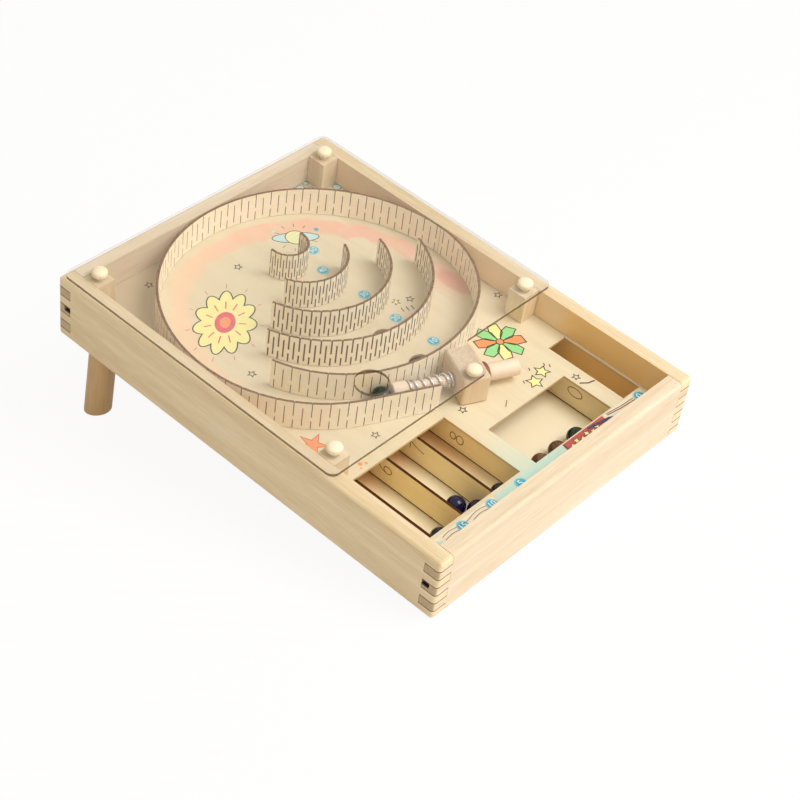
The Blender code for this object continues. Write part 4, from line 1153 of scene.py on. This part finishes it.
WHEEL, BLADES = Vector((206.5, 125)), 8
BLADE = ((1.4, 0), (10.4, -2.5), (19, 1.4), (15.6, 7.9), (9.2, 7.0), (4.6, 3.7))
for k in range(BLADES):
    spin = Matrix.Rotation(math.tau * k / BLADES, 2)
    ink = ("green", "yellow", "green", "orange")[k % 4]
    inked(ink, [WHEEL + spin @ Vector(point) for point in BLADE], 0.8)
inked("orange", disc(WHEEL, 2.8), 0.7, 2)

for spot, radius, turn in (((205.4, 85.5), 5.9, 0.5), ((193.6, 81.9), 6.4, 1.0)):
    inked("yellow", star(spot, radius, 0.5, turn), 0.75)
for x, y in ((211.5, 88), (213.5, 84.5), (199.5, 91.5), (186.5, 85.5)):
    draw([(x, y), (x + 1.6, y + 2.4)], 0.7)
for x, y in ((179.4, 195.2), (183.2, 193.8), (187, 192.4)):
    draw([(x, y), (x - 1.4, y - 4.2)], 0.7)
draw([(158.6, 78.8), (164.4, 82.8)], 0.7, ink="brown")
draw([(216.5, 60.5), (221.2, 56.7), (227, 55.2)], 1.1)

fill("yellow", disc(STARS[3], 2.2))
inked("orange", star((33.5, 139.5), 11, 0.36, 0.4), 0.5, 0, "rose")
for x, y, radius in ((44, 106.8, 1.6), (47.5, 104.6, 1.1), (41.6, 103.6, 0.8)):
    fill("orange", disc((x, y), radius))

BUBBLES = (
    (222, 338, 3.4), (227.5, 333, 2.6), (217, 341, 2.0), (229.5, 340.5, 2.2), (245, 322, 3.2),
    (240.8, 317, 2.2), (245.4, 314.6, 1.7), (236, 321.8, 1.8),
)
for x, y, radius in BUBBLES:
    inked("sky", disc((x, y), radius), 0.5)
print("pictures in", sum(bool(shape.faces) for shape in sheets.values()), "inks")

# %% [markdown]
# ## The strip along the front
# Between the trays and the front rail runs a bright strip: cream with brown waves, pale teal, a red stretch
# with yellow confetti, and a few bent lines. Numbered dots mark the channels, and five more the drop holes.

# %% Strip and numbers
FRONT, BACK = 12.6, 29.6


def patch(left, right, lean=3.0):
    return [(left, FRONT), (right, FRONT), (right + lean, BACK), (left + lean, BACK)]


fill("cream", patch(14, 84, 3))
fill("teal", [(14, FRONT), (24, FRONT), (34, 25), (28, BACK), (14, BACK)], 1)
fill("teal", patch(84.4, 156, 5))
fill("rose", patch(156.4, 200))
fill("cream", patch(200.4, 243.5, 1.5))
for level in (15.2, 18.2, 21.2, 24.2, 27.2):
    wave = [(36 + 2.4 * i, level + 1.0 * math.sin(i * 0.55)) for i in range(19)]
    draw(wave, 0.55, 2, ink="brown")
    ripple = [(105 + 2.4 * i, level + 0.8 * math.sin(i * 0.65)) for i in range(20)]
    draw(ripple, 0.5, 1, ink="sky")
draw([(157.2, FRONT + 0.4), (160.3, BACK - 0.3)], 1.2, 1)
for k in range(12):
    spot = (165 + 5.4 * (k % 6), 24 + 1.8 * (k % 2) - 7 * (k // 6))
    inked("yellow", star(spot, 2.6, 0.55, 0.6 * k, 4), 0.5, 1)
fill("navy", [(184, 27.4), (208, 22.4), (213, 22.0), (205, 26.0), (186, 29.2)], 3)
BENT_LINES = ((27.6, 24.6, 1.0, "brown"), (25.2, 22.6, 0.8, "sky"), (28.9, 26.4, 0.6, "black"))
for low, high, width, ink in BENT_LINES:
    draw([(206, low), (220, (low + high) / 2 - 0.6), (233.5, high)], width, 1, ink=ink)

NUMBERS = (
    ("50", (176.9, 280.6)), ("40", (166.3, 260.0)), ("30", (169.7, 221.9)), ("20", (168.4, 189.9)),
    ("10", (170.7, 156.1)), ("15", (53.5, 25.2)), ("10", (82.3, 25.3)), ("5", (111.2, 25.2)),
    ("0", (238.5, 24.6)),
)
DOT, DOT_SIDES = 4.6, 40
ONE_DIGIT, TWO_DIGITS = 7.4, 6.4


def figure(text, size, place):
    """A plain number as a thin closed mesh, its middle at the place."""
    letters = bpy.data.curves.new("figure", "FONT")
    letters.body = text
    letters.size = size
    letters.align_x = "CENTER"
    letters.align_y = "CENTER"
    letters.extrude = FILM / 2
    letters.resolution_u = 4
    mesh = plain_mesh(show("figure", letters))
    mesh.transform(Matrix.Translation(place))
    return mesh


for text, spot in NUMBERS:
    fill("blue", disc(spot, DOT, DOT_SIDES), 2)
    draw(disc(spot, DOT * 0.9, DOT_SIDES), 0.35, 3, True, "sky")
    size = TWO_DIGITS if len(text) > 1 else ONE_DIGIT
    sheets["white"].from_mesh(figure(text, size, (*spot, INK + 3 * LAYER + FILM / 2)))

for name, shape in sheets.items():
    if shape.faces:
        settle(f"print_{name}", solid(shape, 1e-4), "frame", (), [looks[name]])

# %% [markdown]
# ## Burnt numbers
# A number is burnt into each channel's wall with a thin point. A burnt line is a little sunk and very dark at
# its middle; at this size a dark band a hair thick on the wall's face looks the same and stays a clean solid.
# The figures are drawn as open strokes, because a branding point doesn't fill letters.

# %% Burnt numbers
STROKES = {
    "6": [[(3.0, 6.2), (0.6, 5.0), (-1.8, 2.0), (-2.9, -1.6), *oval((0, -2.8), 2.9, 3.4, math.pi, 20)]],
    "7": [[(-3.0, 5.6), (3.2, 6.2), (1.4, 2.2), (0.2, -2.0), (-0.6, -6.4)]],
    "8": [[*oval((0, 3.3), 2.4, 2.9, -math.pi / 2, 20)], [*oval((0, -3.0), 3.1, 3.5, math.pi / 2, 20)]],
    "0": [[*oval((0, 0), 3.7, 6.3, 0, 28)]],
}
CHANNELS = {
    "6": ("tray_wall_2", 100, 17), "7": ("tray_wall_3", 98.5, 17),
    "8": ("tray_wall_4", 89, 14.5), "0": ("tray_wall_5", 62, 18),
}
BURN, PROUD = 0.7, 0.01
burnt = char("burnt_line")
INTO_WALL = Matrix(((0, 0, -1, 0), (0, 1, 0, 0), (1, 0, 0, 0), (0, 0, 0, 1)))
for text, (wall, y, z) in CHANNELS.items():
    shape = bmesh.new()
    for stroke in STROKES[text]:
        line(shape, stroke, BURN, 0, text in "80")
    on_wall = Matrix.Translation((span(wall)[0].x, y, z)) @ INTO_WALL
    place = FROM_BOX @ on_wall @ Matrix.Translation((0, 0, PROUD - INK))
    settle(f"burnt_{text}", solid(shape), "frame", (), [burnt], place)

# %% [markdown]
# ## Floor, backdrop and light
# The toy stands on a pale floor in an even white room. The floor shows almost white to the camera, through
# Light Path, and still takes a faint shadow. Two broad lamps stand in front and to the right: a strong high
# one that reaches into the trays under the board's edge, and a weaker low one for the front rail. A warm
# room, brighter towards the front, fills the shaded long side.

# %% Stage
FLOOR_SHARE, FLOOR_HALF, FLOOR_DROP = 0.92, 4.0, 0.0002


def seen(tree):
    """1 for rays that look at the backdrop: from the camera, off gloss, or through something clear."""
    rays = put(tree, "ShaderNodeLightPath").outputs
    either = do("MAXIMUM", rays["Is Camera Ray"], rays["Is Glossy Ray"])
    return do("MAXIMUM", either, rays["Is Transmission Ray"])


floor_mesh = bpy.data.meshes.new("floor")
corners = [(x * FLOOR_HALF, y * FLOOR_HALF, -FLOOR_DROP) for x, y in ((-1, -1), (1, -1), (1, 1), (-1, 1))]
floor_mesh.from_pydata(corners, [], [(0, 1, 2, 3)])
floor = show("floor", floor_mesh)
paper, surface = material("floor_paper", (0.92, 0.92, 0.92), 0.9)
tree = paper.node_tree
glow = via(tree, "ShaderNodeEmission", {"Strength": 1.0})
lit = times(seen(tree), FLOOR_SHARE)
mixed = via(tree, "ShaderNodeMixShader", {0: lit, 1: surface.outputs[0], 2: glow})
feed(tree.nodes["Material Output"], {"Surface": mixed})
floor_mesh.materials.append(paper)

world = bpy.data.worlds.new("room")
bpy.context.scene.world = world
world.use_nodes = True
room = world.node_tree
FILL, IN_FRONT, BEHIND = (0.635, 0.588, 0.475), 1.5, 0.5
bright, dim = ([share * part for part in FILL] for share in (IN_FRONT, BEHIND))
from_back = xyz(put(room, "ShaderNodeTexCoord").outputs["Generated"])[1]
windows = blend(ramp(from_back, -1, 1), bright, dim)
feed(room.nodes["Background"], {"Color": blend(seen(room), windows, (1, 1, 1))})


def lamp(name, place, aim, size, energy):
    light = bpy.data.lights.new(name, "AREA")
    light.shape = "DISK"
    light.size = size
    light.energy = energy
    holder = show(name, light)
    holder.location = place
    holder.rotation_euler = (Vector(aim) - Vector(place)).to_track_quat("-Z", "Y").to_euler()


MIDDLE = (0, 0, 0.05)
lamp("key", (0.55, -1.40, 0.95), MIDDLE, 1.3, 5.5)
lamp("top", (0.45, -1.00, 1.45), MIDDLE, 1.0, 16)
bpy.context.scene.view_settings.view_transform = "Standard"
print("floor, room and two lamps")
